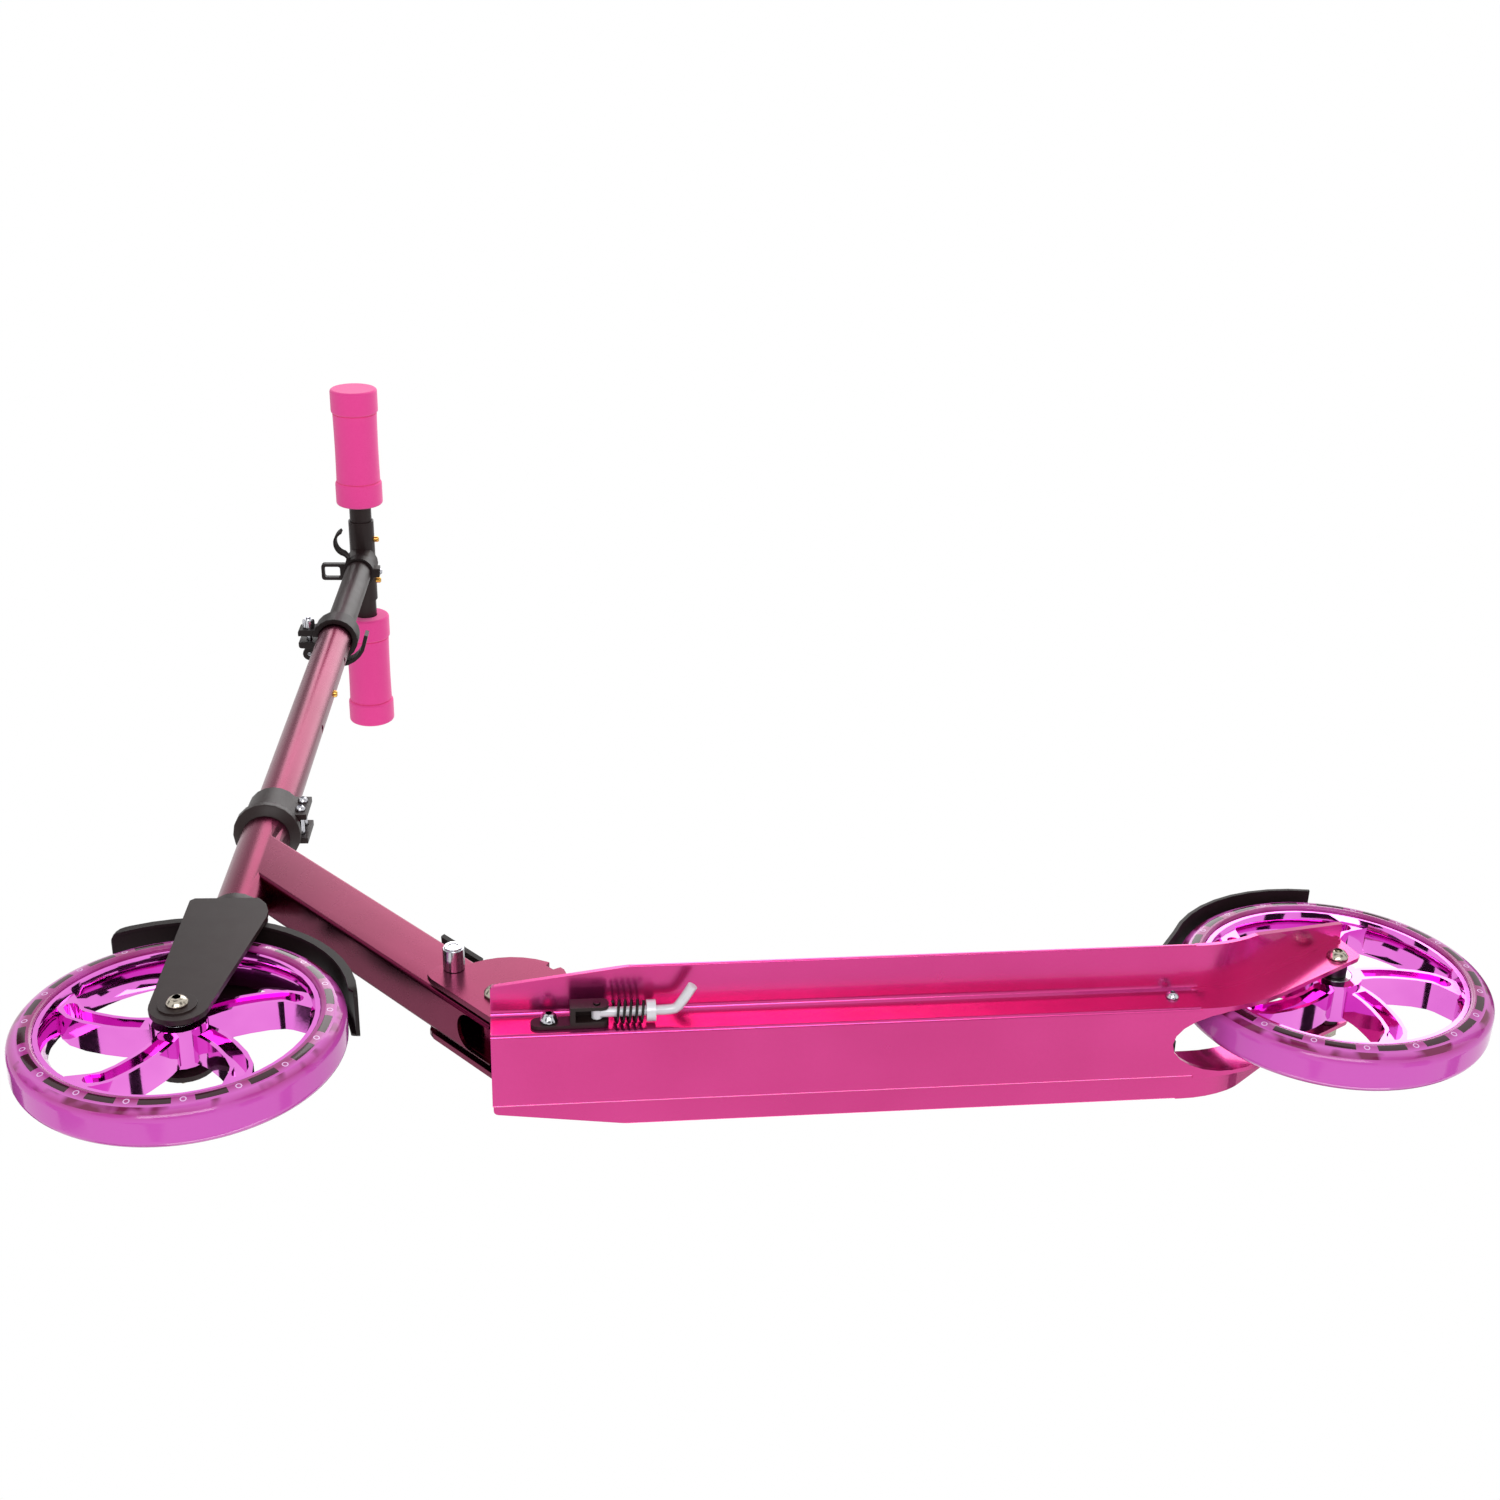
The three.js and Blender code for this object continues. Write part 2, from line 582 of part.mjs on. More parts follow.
const tapeFront = PIVOT_X - SLOT_REACH - TAPE_INSET;
const tapeRear = TOP_REAR_X + TAPE_INSET;
const tapeShape = roundedShape([
  [tapeRear, -TAPE_HALF, 6],
  [tapeFront, -TAPE_HALF, 6],
  [tapeFront, TAPE_HALF, 6],
  [tapeRear, TAPE_HALF, 6],
]);
place(chassis, "grip_tape", slabZ(tapeShape, DECK_TOP, DECK_TOP + TAPE_THICK), gripTape);

// ---------------------------------------------------------------- fold plates and pivot
// The plates' free edge keeps clear of the lock bolt, which slides out as the neck folds.
function platePoints() {
  const bolt = NECK_ANGLE;
  const slack = LOCK_BOLT_R + RUN;
  const notchTurn = THREE.MathUtils.radToDeg(slack / LOCK_R);
  const at = (r, degrees) => [r * Math.cos(rad(degrees)), r * Math.sin(rad(degrees))];
  const spiral = Array.from({ length: 9 }, (_, i) => {
    const share = i / 8;
    const turned = (FOLD_ANGLE - 7) * share;
    return at(LOCK_R - slack + (LOCK_TRAVEL * turned) / FOLD_ANGLE, bolt + turned);
  });
  const seat = arc(...at(LOCK_R, bolt), slack + 0.2, bolt - 90, bolt - 180, 5);
  const under = (along) => [
    along * Math.cos(rad(NECK_ANGLE)) + NECK_UNDER * Math.sin(rad(NECK_ANGLE)),
    along * Math.sin(rad(NECK_ANGLE)) - NECK_UNDER * Math.cos(rad(NECK_ANGLE)),
  ];
  const floor = BOX_BOTTOM + DECK_WALL + GAP - PIVOT_Z;
  const floorAlong = (floor + NECK_UNDER * Math.cos(rad(NECK_ANGLE))) / Math.sin(rad(NECK_ANGLE));
  const lobe = bolt + FOLD_ANGLE;
  const deckLine = DECK_TOP - PIVOT_Z;
  return [
    under(floorAlong),
    under(LOCK_R - 1),
    under(LOCK_R + 3).map((value, i) => value + (i ? 2.5 : 0)),
    at(PLATE_R + 1.2, bolt - 16),
    at(PLATE_R + 1.2, bolt - 2 * notchTurn),
    at(PLATE_R, bolt - notchTurn),
    ...seat,
    ...spiral.slice(1),
    at(PLATE_R - 1, lobe - 5.5),
    at(LOCK_R + LOCK_TRAVEL - slack - 5, lobe - 4.5),
    at(LOCK_R + LOCK_TRAVEL - slack - 5, lobe + 4),
    at(PLATE_R, lobe + 5),
    at(PLATE_R + 0.3, lobe + 9),
    at(PLATE_R - 1.5, lobe + 18),
    [-PLATE_REACH + 24, deckLine],
    [-PLATE_REACH, floor + 4],
    [-PLATE_REACH, floor],
  ];
}
const plate = outline(platePoints());
[["left", 1], ["right", -1]].forEach(([name, sign]) => {
  const span = sign > 0 ? [PLATE_INNER, PLATE_OUTER] : [-PLATE_OUTER, -PLATE_INNER];
  const made = cut(slabY(plate, ...span), rodY(PIVOT_R + RUN, -WING_HALF, WING_HALF));
  place(chassis, `fold_plate_${name}`, made, candyPink).position.set(PIVOT_X, 0, PIVOT_Z);
});

const pivotHead = domeHead(7, 5, 2.4).translate(0, PLATE_OUTER + GAP, 0);
const pivotShank = rodY(PIVOT_R, -PLATE_OUTER - 8, PLATE_OUTER + GAP + 0.5);
const pivotPlace = [PIVOT_X, 0, PIVOT_Z];
place(chassis, "fold_pivot_bolt", join(pivotHead, pivotShank), steel).position.set(...pivotPlace);
const pivotNut = hexNut(13, -PLATE_OUTER - GAP - 6.5, -PLATE_OUTER - GAP, PIVOT_R + RUN);
place(chassis, "fold_pivot_nut", pivotNut, steel).position.set(...pivotPlace);

// ---------------------------------------------------------------- neck and head tube
// The steering frame seen from the neck frame.
function steeringInNeck(geometry) {
  chassis.updateMatrixWorld(true);
  const toNeck = neckFrame.matrixWorld.clone().invert().multiply(steering.matrixWorld);
  return geometry.clone().applyMatrix4(toNeck);
}

function neckGeometry() {
  const reach = Math.hypot(STEER_X - PIVOT_X, HEAD_HIGH);
  const edge = 2.5;
  const tubeSection = (wall) =>
    roundedShape([
      [NECK_HALF - wall, -NECK_UNDER + wall, Math.max(edge - wall / 2, 0.8)],
      [NECK_HALF - wall, NECK_OVER - wall, Math.max(edge - wall / 2, 0.8)],
      [-NECK_HALF + wall, NECK_OVER - wall, Math.max(edge - wall / 2, 0.8)],
      [-NECK_HALF + wall, -NECK_UNDER + wall, Math.max(edge - wall / 2, 0.8)],
    ], 3);
  const slotFrom = LOCK_R - LOCK_BOLT_R - RUN;
  const slotTo = LOCK_R + LOCK_TRAVEL + LOCK_BOLT_R + RUN;
  const head = steeringInNeck(rodZ(HEAD_R, HEAD_LOW, HEAD_HIGH, 0, 0, SIDES_LARGE));
  const headLong = steeringInNeck(rodZ(HEAD_R - 0.5, 0, 2 * HEAD_HIGH, 0, 0, SIDES_LARGE));
  const ahead = steeringInNeck(block(0, reach, -2 * HEAD_R, 2 * HEAD_R, 0, 2 * HEAD_HIGH));
  const tube = cut(
    slabX(tubeSection(0), -NECK_TAIL, reach),
    slabX(tubeSection(NECK_WALL), -NECK_TAIL - 1, reach + 1),
    headLong,
    ahead,
  );
  const mouth = roundedShape([
    [-NECK_TAIL - 20, -NECK_HALF + NECK_WALL, 0],
    [-NECK_TAIL + NECK_MOUTH, -NECK_HALF + NECK_WALL, NECK_HALF - NECK_WALL - 0.5],
    [-NECK_TAIL + NECK_MOUTH, NECK_HALF - NECK_WALL, NECK_HALF - NECK_WALL - 0.5],
    [-NECK_TAIL - 20, NECK_HALF - NECK_WALL, 0],
  ], 8);
  const slot = roundedShape([
    [slotFrom, -LOCK_BOLT_R - RUN, LOCK_BOLT_R],
    [slotTo, -LOCK_BOLT_R - RUN, LOCK_BOLT_R],
    [slotTo, LOCK_BOLT_R + RUN, LOCK_BOLT_R],
    [slotFrom, LOCK_BOLT_R + RUN, LOCK_BOLT_R],
  ]);
  const bush = rodY(9, -PLATE_INNER + GAP, PLATE_INNER - GAP);
  return cut(
    join(tube, head, bush),
    rodY(PIVOT_R + RUN, -WING_HALF, WING_HALF),
    slabZ(mouth, -NECK_UNDER - 1, -NECK_UNDER + NECK_WALL + 0.5),
    slabY(slot, -WING_HALF, WING_HALF),
    steeringInNeck(rodZ(HEAD_BORE, 0, 2 * HEAD_HIGH, 0, 0, SIDES_LARGE)),
  );
}
place(neckFrame, "neck", neckGeometry(), candyPink);

const cupBore = STEERER_R + RUN;
const topCup = turnedZ([
  [cupBore, HEAD_HIGH - 6],
  [HEAD_BORE - GAP, HEAD_HIGH - 6],
  [HEAD_BORE - GAP, HEAD_HIGH + GAP],
  [HEAD_R + 1, HEAD_HIGH + GAP],
  [CUP_R, HEAD_HIGH + 4.5],
  [CUP_R, CUP_TOP - 2],
  [CUP_R - 2, CUP_TOP],
  [cupBore, CUP_TOP],
  [cupBore, HEAD_HIGH - 6],
], SIDES_LARGE);
place(steering, "headset_bearing_top", topCup, blackPaint);
const lowCup = turnedZ([
  [cupBore, CROWN_TOP + GAP],
  [HEAD_R + 2, CROWN_TOP + GAP],
  [HEAD_R + 3, HEAD_LOW - 4],
  [HEAD_R, HEAD_LOW - GAP],
  [HEAD_BORE - GAP, HEAD_LOW - GAP],
  [HEAD_BORE - GAP, HEAD_LOW + 6],
  [cupBore, HEAD_LOW + 6],
  [cupBore, CROWN_TOP + GAP],
], SIDES_LARGE);
place(steering, "headset_bearing_bottom", lowCup, blackPaint);

// ---------------------------------------------------------------- fork and front fender
function forkGeometry() {
  const blade = outline([
    [BLADE_FRONT, CROWN_TOP - 3],
    [BLADE_FRONT - 3, CROWN_TOP],
    [-BLADE_REAR + 9, CROWN_TOP],
    [-BLADE_REAR + 3, CROWN_TOP - 8],
    [-BLADE_REAR, CROWN_TOP - 18],
    [-BLADE_REAR, CROWN_TOP - 27],
    ...arc(RAKE - 1, 0, BLADE_END_R, 190, 360, 12),
  ]);
  const crown = roundedShape([
    [BLADE_FRONT, -BLADE_OUTER, 3],
    [BLADE_FRONT, BLADE_OUTER, 3],
    [-BLADE_REAR + 9, BLADE_OUTER, 3],
    [-BLADE_REAR + 9, -BLADE_OUTER, 3],
  ], 2);
  return cut(
    join(
      slabY(blade, BLADE_INNER, BLADE_OUTER),
      slabY(blade, -BLADE_OUTER, -BLADE_INNER),
      slabZ(crown, CROWN_TOP - BLADE_THICK, CROWN_TOP),
      rodY(12, BLADE_OUTER - 1, BLADE_OUTER + 1, RAKE, 0, SIDES_MID),
      rodY(12, -BLADE_OUTER - 1, -BLADE_OUTER + 1, RAKE, 0, SIDES_MID),
      rodZ(STEERER_R, CROWN_TOP - 1, STEERER_TOP),
    ),
    rodY(AXLE_R + RUN, -2 * BLADE_OUTER, 2 * BLADE_OUTER, RAKE, 0),
    rodZ(STEERER_BORE, CROWN_TOP - 10, STEERER_TOP + 1, 0, 0, SIDES_MID),
  );
}
place(steering, "fork", forkGeometry(), blackPaint);

function frontFenderGeometry() {
  const r = FRONT_FENDER_R;
  const shift = FRONT_FENDER_SHIFT;
  const strip = outline([
    ...arc(RAKE + shift, shift, r, FRONT_FENDER_TIP, FRONT_FENDER_TAIL, 16),
    ...arc(RAKE + shift, shift, r + FENDER_THICK, FRONT_FENDER_TIP, FRONT_FENDER_TAIL, 16).reverse(),
  ]);
  const rimmed = outline([
    ...arc(RAKE + shift, shift, r - FENDER_FLANGE, FRONT_FENDER_TIP + 3, FRONT_FENDER_TAIL - 3, 16),
    ...arc(RAKE + shift, shift, r + 1, FRONT_FENDER_TIP + 1, FRONT_FENDER_TAIL - 1, 16).reverse(),
  ]);
  const seatTop = CROWN_TOP - BLADE_THICK - GAP;
  const saddle = block(-10, 16, -11, 11, r, seatTop);
  const shell = cut(
    join(slabY(strip, -FENDER_HALF, FENDER_HALF), saddle),
    rodY(r, -FENDER_HALF - 1, FENDER_HALF + 1, RAKE + shift, shift, 2 * SIDES_WHEEL),
    rodZ(STEERER_BORE, r, CROWN_TOP, 0, 0, SIDES_MID),
  );
  const whole = join(
    shell,
    slabY(rimmed, FENDER_HALF - FENDER_EDGE, FENDER_HALF),
    slabY(rimmed, -FENDER_HALF, -FENDER_HALF + FENDER_EDGE),
  );
  const [tipX] = arc(RAKE + shift, shift, r + FENDER_THICK, FRONT_FENDER_TIP, FRONT_FENDER_TAIL, 1)[0];
  const [, tailZ] = arc(RAKE + shift, shift, r + FENDER_THICK, FRONT_FENDER_TIP, FRONT_FENDER_TAIL, 1)[1];
  const corners = (low, high) =>
    roundedShape([
      [low, -FENDER_HALF, 0],
      [high, -FENDER_HALF, FENDER_CORNER],
      [high, FENDER_HALF, FENDER_CORNER],
      [low, FENDER_HALF, 0],
    ], 5);
  const tail = corners(-2 * r, -tailZ + 1.5);
  const rounded = common(whole, slabZ(corners(-2 * r, tipX - 0.5), -2 * r, 2 * r));
  return common(rounded, slabZ(tail, -2 * r, 2 * r).rotateY(Math.PI / 2));
}
place(steering, "front_fender", frontFenderGeometry(), blackPlastic);

// ---------------------------------------------------------------- column
const earSpan = 8.5;
function collarGeometry() {
  const ears = block(-COLLAR_R - 8, 0, -earSpan - 3.5, earSpan + 3.5, COLLAR_LOW, COLLAR_HIGH);
  return cut(
    join(rodZ(COLLAR_R, COLLAR_LOW, COLLAR_HIGH, 0, 0, SIDES_LARGE), ears),
    rodZ(COLUMN_R + RUN, 0, COLUMN_TOP, 0, 0, SIDES_LARGE),
    block(-2 * COLLAR_R, -COLUMN_R + 3, -earSpan + 1, earSpan - 1, 0, COLUMN_TOP),
    ...[0.27, 0.73].map((share) =>
      rodY(2.5 + RUN, -50, 50, -COLLAR_R - 2.5, COLLAR_LOW + COLLAR_HEIGHT * share),
    ),
  );
}
place(steering, "fork_collar", collarGeometry(), blackPaint);
[["lower", 0.27], ["upper", 0.73]].forEach(([name, share]) => {
  const face = earSpan + 3.5 + GAP;
  const head = domeHead(3.8, 3.2, 1.7).translate(0, face, 0);
  const screw = join(head, rodY(2.5, -face + 1, face + 0.5));
  const at = [-COLLAR_R - 2.5, 0, COLLAR_LOW + COLLAR_HEIGHT * share];
  place(steering, `collar_screw_${name}`, screw, zinc).position.set(...at);
});

const buttonHoles = [-1, 0, 1].map((step) =>
  rodX(BUTTON_R + 0.5, -2 * COLUMN_R, 0, 0, BUTTON_W + step * HOLE_PITCH),
);
const lowerColumn = cut(
  ringZ(COLUMN_BORE, COLUMN_R, COLLAR_LOW, COLUMN_TOP, SIDES_LARGE),
  ...buttonHoles,
  block(-2 * COLUMN_R, 0, -1, 1, COLUMN_TOP - 45, COLUMN_TOP + 1),
);
place(steering, "lower_column", lowerColumn, candyPink);

function clampGeometry() {
  const ears = roundedShape([
    [0, -9],
    [CLAMP_BOLT_U + 9, -9],
    [CLAMP_BOLT_U + 9, 9],
    [0, 9],
  ].map(([x, y]) => [x, y, x ? 2.5 : 0]));
  return cut(
    join(
      rodZ(CLAMP_R, CLAMP_LOW, CLAMP_LOW + CLAMP_HEIGHT, 0, 0, SIDES_LARGE),
      rodZ(CLAMP_R - 3, CLAMP_LOW, CLAMP_LOW + CLAMP_HEIGHT + 3, 0, 0, SIDES_LARGE),
      slabZ(ears, CLAMP_LOW + 2, CLAMP_LOW + CLAMP_HEIGHT - 2),
    ),
    rodZ(COLUMN_R + RUN, 0, COLUMN_TOP + GAP, 0, 0, SIDES_LARGE),
    rodZ(INNER_R + RUN, 0, BAR_W, 0, 0, SIDES_LARGE),
    block(0, 2 * CLAMP_R + 10, -3, 3, 0, BAR_W),
    rodY(CLAMP_BOLT_R + RUN, -50, 50, CLAMP_BOLT_U, CLAMP_BOLT_W),
  );
}
place(steering, "column_clamp", clampGeometry(), blackPlastic);

// ---------------------------------------------------------------- quick releases
// Frame: x along the cam pin, y along the bolt towards its nut, the cam pin at the origin.
const CAM_R = 6.2;
const CAM_HALF = 6;
const EYE_HALF = 2.8;
const PIN_R = 1.8;
function crossBolt(r, length) {
  return join(
    rodY(r, 0, length),
    rodX(3.6, -EYE_HALF, EYE_HALF),
    rodX(PIN_R, -CAM_HALF - 0.5, CAM_HALF + 0.5, 0, 0, SIDES_PIN),
  );
}
// path: the arm's centre line in y and z, from the cam; trim: its outline in x and z.
function camLever(path, trim) {
  const lowest = Math.min(...trim.map(([x]) => x));
  const highest = Math.max(...trim.map(([x]) => x));
  const arm = common(
    slabX(stripShape(path, 3.4, 12), lowest, highest),
    slabY(roundedShape(trim, 3), -80, 80),
  );
  const swept = outline([
    [0, 0],
    ...arc(0, 0, CAM_R + 1, -152, 52, 9),
  ]);
  return cut(
    join(arm, rodX(CAM_R, -CAM_HALF, CAM_HALF, 0, 0, SIDES_MID)),
    slabX(swept, -EYE_HALF - GAP, EYE_HALF + GAP),
    rodX(3.6 + GAP, -EYE_HALF - GAP, EYE_HALF + GAP),
    rodX(PIN_R + RUN, -CAM_HALF - 1, CAM_HALF + 1, 0, 0, SIDES_SMALL),
  );
}

const clampCamY = -9 - CAM_R - GAP;
const clampQuick = new THREE.Group();
clampQuick.position.set(CLAMP_BOLT_U, clampCamY, CLAMP_BOLT_W);
clampQuick.rotation.y = -Math.PI / 2;
steering.add(clampQuick);
const clampNutFace = 9 + GAP - clampCamY;
place(clampQuick, "clamp_bolt", crossBolt(CLAMP_BOLT_R, clampNutFace + 10), zinc);
const clampNut = cut(
  turnedY([
    [0, clampNutFace],
    [5.6, clampNutFace],
    [5.6, clampNutFace + 6],
    [4.4, clampNutFace + 8.5],
    [0, clampNutFace + 8.5],
  ], SIDES_SMALL),
  rodY(CLAMP_BOLT_R + RUN, 0, clampNutFace + 20),
);
place(clampQuick, "clamp_nut", clampNut, zinc);
// The arm hugs the clamp ring: a path about the column's axis, seen from the cam pin.
const hugR = CLAMP_R + 6;
const clampArm = [
  [-3, -2],
  ...arc(-clampCamY, CLAMP_BOLT_U, hugR, 222, 95, 6).map(([y, z]) => [y, z]),
  [-clampCamY + 3, CLAMP_BOLT_U + hugR + 1.5],
];
const clampTrim = [
  [-CAM_HALF, -CAM_R - 2, 2],
  [CAM_HALF, -CAM_R - 2, 2],
  [CAM_HALF + 1, CLAMP_BOLT_U + hugR + 8, 4],
  [-CAM_HALF - 1, CLAMP_BOLT_U + hugR + 8, 4],
];
place(clampQuick, "clamp_lever", camLever(clampArm, clampTrim), blackPlastic);

const lockCamY = -PLATE_OUTER - CAM_R - GAP;
const lockQuick = new THREE.Group();
lockQuick.position.set(LOCK_R, lockCamY, 0);
neckFrame.add(lockQuick);
const lockNutFace = PLATE_OUTER + GAP - lockCamY;
place(lockQuick, "lock_bolt", crossBolt(LOCK_BOLT_R, lockNutFace + 15.4), zinc);
const KNURLS = 14;
const knurl = outline(
  Array.from({ length: 2 * KNURLS }, (_, i) => {
    const a = (Math.PI * i) / KNURLS;
    const r = i % 2 ? 6.4 : 6.8;
    return [r * Math.cos(a), r * Math.sin(a)];
  }),
);
const lockNut = cut(
  join(
    slabY(knurl, lockNutFace, lockNutFace + 14.5),
    rodY(5.8, lockNutFace + 14, lockNutFace + 15.8),
  ),
  rodY(LOCK_BOLT_R + RUN, 0, lockNutFace + 20),
);
place(lockQuick, "lock_nut", lockNut, zinc);
// The arm climbs the neck's right side and lies over its top.
const overNeck = NECK_OVER + 6;
const lockArm = [
  [-3, 0],
  [-4, 9],
  [0, overNeck - 6],
  [12, overNeck],
  [-lockCamY, overNeck + 1],
  [-lockCamY + 14, overNeck - 0.5],
];
const lockTrim = [
  [-6, -4, 3],
  [7, -4, 3],
  [20, 15, 8],
  [50, overNeck - 3, 5],
  [50, overNeck + 6, 4],
  [12, overNeck + 6, 4],
  [-6, 10, 8],
];
place(lockQuick, "lock_lever", camLever(lockArm, lockTrim), blackPlastic);

// ---------------------------------------------------------------- upper column, handles and grips
function upperColumnGeometry() {
  return cut(
    join(
      rodZ(INNER_R, INNER_LOW, BAR_W, 0, 0, SIDES_LARGE),
      rodY(SLEEVE_R, -SLEEVE_HALF, SLEEVE_HALF, 0, BAR_W, SIDES_LARGE),
      turnedZ([[0, BAR_W - 24], [INNER_R, BAR_W - 24], [INNER_R + 3.5, BAR_W - 9], [0, BAR_W - 9]], SIDES_LARGE),
    ),
    rodY(SLEEVE_BORE, -2 * SLEEVE_HALF, 2 * SLEEVE_HALF, 0, BAR_W, SIDES_LARGE),
    rodZ(INNER_BORE, INNER_LOW - 1, BAR_W - 22, 0, 0, SIDES_LARGE),
    block(-2 * INNER_R, 0, -BUTTON_R - 0.5, BUTTON_R + 0.5, 0, BUTTON_W + HEIGHT_DOWN + BUTTON_R + 1),
    rodX(BUTTON_R + RUN, -2 * SLEEVE_R, 0, PIN_Y, BAR_W),
    rodX(BUTTON_R + RUN, -2 * SLEEVE_R, 0, -PIN_Y, BAR_W),
  );
}
place(steering, "upper_column", upperColumnGeometry(), blackPaint);

// A snap button on its leaf spring, drawn along -x from the middle of the tube that holds it;
// inTube is that tube's bore, out is where the button's tip ends.
function snapButton(inTube, out) {
  const leafX = -inTube + 2.6;
  return join(
    turnedY([[0, 0], [BUTTON_R, 0], [BUTTON_R, out + leafX - 1.2], [BUTTON_R - 1, out + leafX], [0, out + leafX]], SIDES_SMALL)
      .rotateZ(Math.PI / 2)
      .translate(leafX, 0, 0),
    block(leafX, leafX + 0.8, -2.5, 2.5, -5, 32),
    block(leafX, inTube - 4, -2.5, 2.5, 31.2, 32),
    block(inTube - 4.8, inTube - 4, -2.5, 2.5, 5, 32),
  );
}
const heightButton = snapButton(INNER_BORE, COLUMN_R + 2.6);
place(steering, "height_button", heightButton, brass).position.z = BUTTON_W;

[["left", 1], ["right", -1]].forEach(([name, sign]) => {
  const side = new THREE.Group();
  side.position.z = BAR_W;
  side.rotation.z = sign > 0 ? 0 : Math.PI;
  steering.add(side);
  // Turned half round, the right side's rear is its local +x.
  const rear = sign > 0 ? 1 : -1;
  const slot = rear > 0 ? [-2 * HANDLE_R, 0] : [0, 2 * HANDLE_R];
  const tubeEnd = BAR_HALF - 4;
  const tube = cut(
    rodY(HANDLE_R, HANDLE_INNER, tubeEnd, 0, 0, SIDES_LARGE),
    rodY(HANDLE_BORE, 0, BAR_HALF, 0, 0, SIDES_MID),
    block(...slot, 0, PIN_Y + BUTTON_R + RUN, -BUTTON_R - RUN, BUTTON_R + RUN),
  );
  place(side, `handle_tube_${name}`, tube, blackPaint);
  const button = snapButton(HANDLE_BORE, SLEEVE_R + 4.5).rotateX(-Math.PI / 2);
  if (rear < 0) button.rotateY(Math.PI);
  place(side, `handle_button_${name}`, button, brass).position.y = PIN_Y;
  const start = BAR_HALF - GRIP_LENGTH;
  const grip = turnedY([
    [HANDLE_R + GAP, start],
    [GRIP_END_R - 1.5, start],
    [GRIP_END_R, start + 2],
    [GRIP_END_R, start + GRIP_END_LENGTH - 2],
    [GRIP_R, start + GRIP_END_LENGTH],
    [GRIP_R, BAR_HALF - GRIP_END_LENGTH],
    [GRIP_END_R, BAR_HALF - GRIP_END_LENGTH + 2],
    [GRIP_END_R, BAR_HALF - 3],
    [GRIP_END_R - 3, BAR_HALF],
    [0, BAR_HALF],
    [0, BAR_HALF - 3.7],
    [HANDLE_R + GAP, BAR_HALF - 3.7],
    [HANDLE_R + GAP, start],
  ], SIDES_LARGE);
  place(side, `grip_${name}`, grip, foamPink);
});

// The clip that holds the folded handles: a band with two open hooks, a strap loop and a screwed lug.
function handleClipGeometry() {
  const low = CLIP_W - CLIP_HEIGHT / 2;
  const high = CLIP_W + CLIP_HEIGHT / 2;
  const wall = 2.6;
  const hook = (sign) => {
    const centreline = HOOK_R + wall / 2;
    const path = [
      ...arc(HOOK_U, HOOK_V, centreline, 62, -62, 9),
      [HOOK_U + 1, HOOK_V - centreline - 1],
      [INNER_R + wall / 2 - 2, 6],
    ];
    return slabZ(stripShape(path.map(([u, v]) => [u, sign * v]), wall, 14), low, high);
  };
  const loopOuter = roundedShape([[12, -8.5, 0], [37, -8.5, 3], [37, 8.5, 3], [12, 8.5, 0]]);
  loopOuter.holes.push(roundedShape([[18.5, -5.5, 2], [34, -5.5, 2], [34, 5.5, 2], [18.5, 5.5, 2]]));
  return cut(
    join(
      rodZ(INNER_R + RUN + wall, low, high, 0, 0, SIDES_LARGE),
      hook(1),
      hook(-1),
      slabZ(loopOuter, CLIP_W - 3, CLIP_W + 3),
      block(-INNER_R - 8, 0, -4.5, 4.5, low, high),
    ),
    rodZ(INNER_R + RUN, 0, BAR_W, 0, 0, SIDES_LARGE),
    rodX(1.8 + RUN, -50, -INNER_R, 0, CLIP_W, SIDES_PIN),
  );
}
place(steering, "handle_clip", handleClipGeometry(), blackPlastic);
const clipScrew = join(
  domeHead(3, 2.4, 1.4).rotateZ(Math.PI / 2).translate(-INNER_R - 8 - GAP, 0, 0),
  rodX(1.8, -INNER_R - 8.5, -INNER_R - GAP, 0, 0, SIDES_PIN),
);
place(steering, "clip_screw", clipScrew, zinc).position.z = CLIP_W;

// ---------------------------------------------------------------- foot brake
function brakeFenderGeometry() {
  const outer = BRAKE_R + FENDER_THICK;
  const skirt = [
    [BRAKE_PIN_X - 12, BRAKE_PIN_Z + 62],
    [BRAKE_PIN_X - 4.5, BRAKE_PIN_Z + 24],
    [BRAKE_PIN_X - 2.5, BRAKE_PIN_Z + 2],
  ];
  const strip = outline([
    ...arc(0, WHEEL_R, BRAKE_R, 102.5, 30, 9),
    ...skirt,
    ...skirt.map(([x, z]) => [x + FENDER_THICK + 0.6, z]).reverse(),
    ...arc(0, WHEEL_R, outer, 30, 102.5, 9),
  ]);
  return cut(
    join(
      slabY(strip, -FENDER_HALF, FENDER_HALF),
      rodY(BRAKE_PIN_R + 3.2, -FENDER_HALF - 2, FENDER_HALF + 2, BRAKE_PIN_X, BRAKE_PIN_Z, SIDES_MID),
    ),
    rodY(BRAKE_PIN_R + RUN, -BOX_HALF, BOX_HALF, BRAKE_PIN_X, BRAKE_PIN_Z),
    block(0, BRAKE_PIN_X + 20, -6.5, 6.5, BOX_BOTTOM, BRAKE_PIN_Z + 9),
  );
}
place(chassis, "brake_fender", brakeFenderGeometry(), blackPlastic);
const brakePin = join(
  domeHead(4.2, 3.2, 1.6).translate(0, BOX_HALF + GAP, 0),
  rodY(BRAKE_PIN_R, -BOX_HALF - 3, BOX_HALF + GAP + 0.5),
);
place(chassis, "brake_pivot_pin", brakePin, zinc).position.set(BRAKE_PIN_X, 0, BRAKE_PIN_Z);
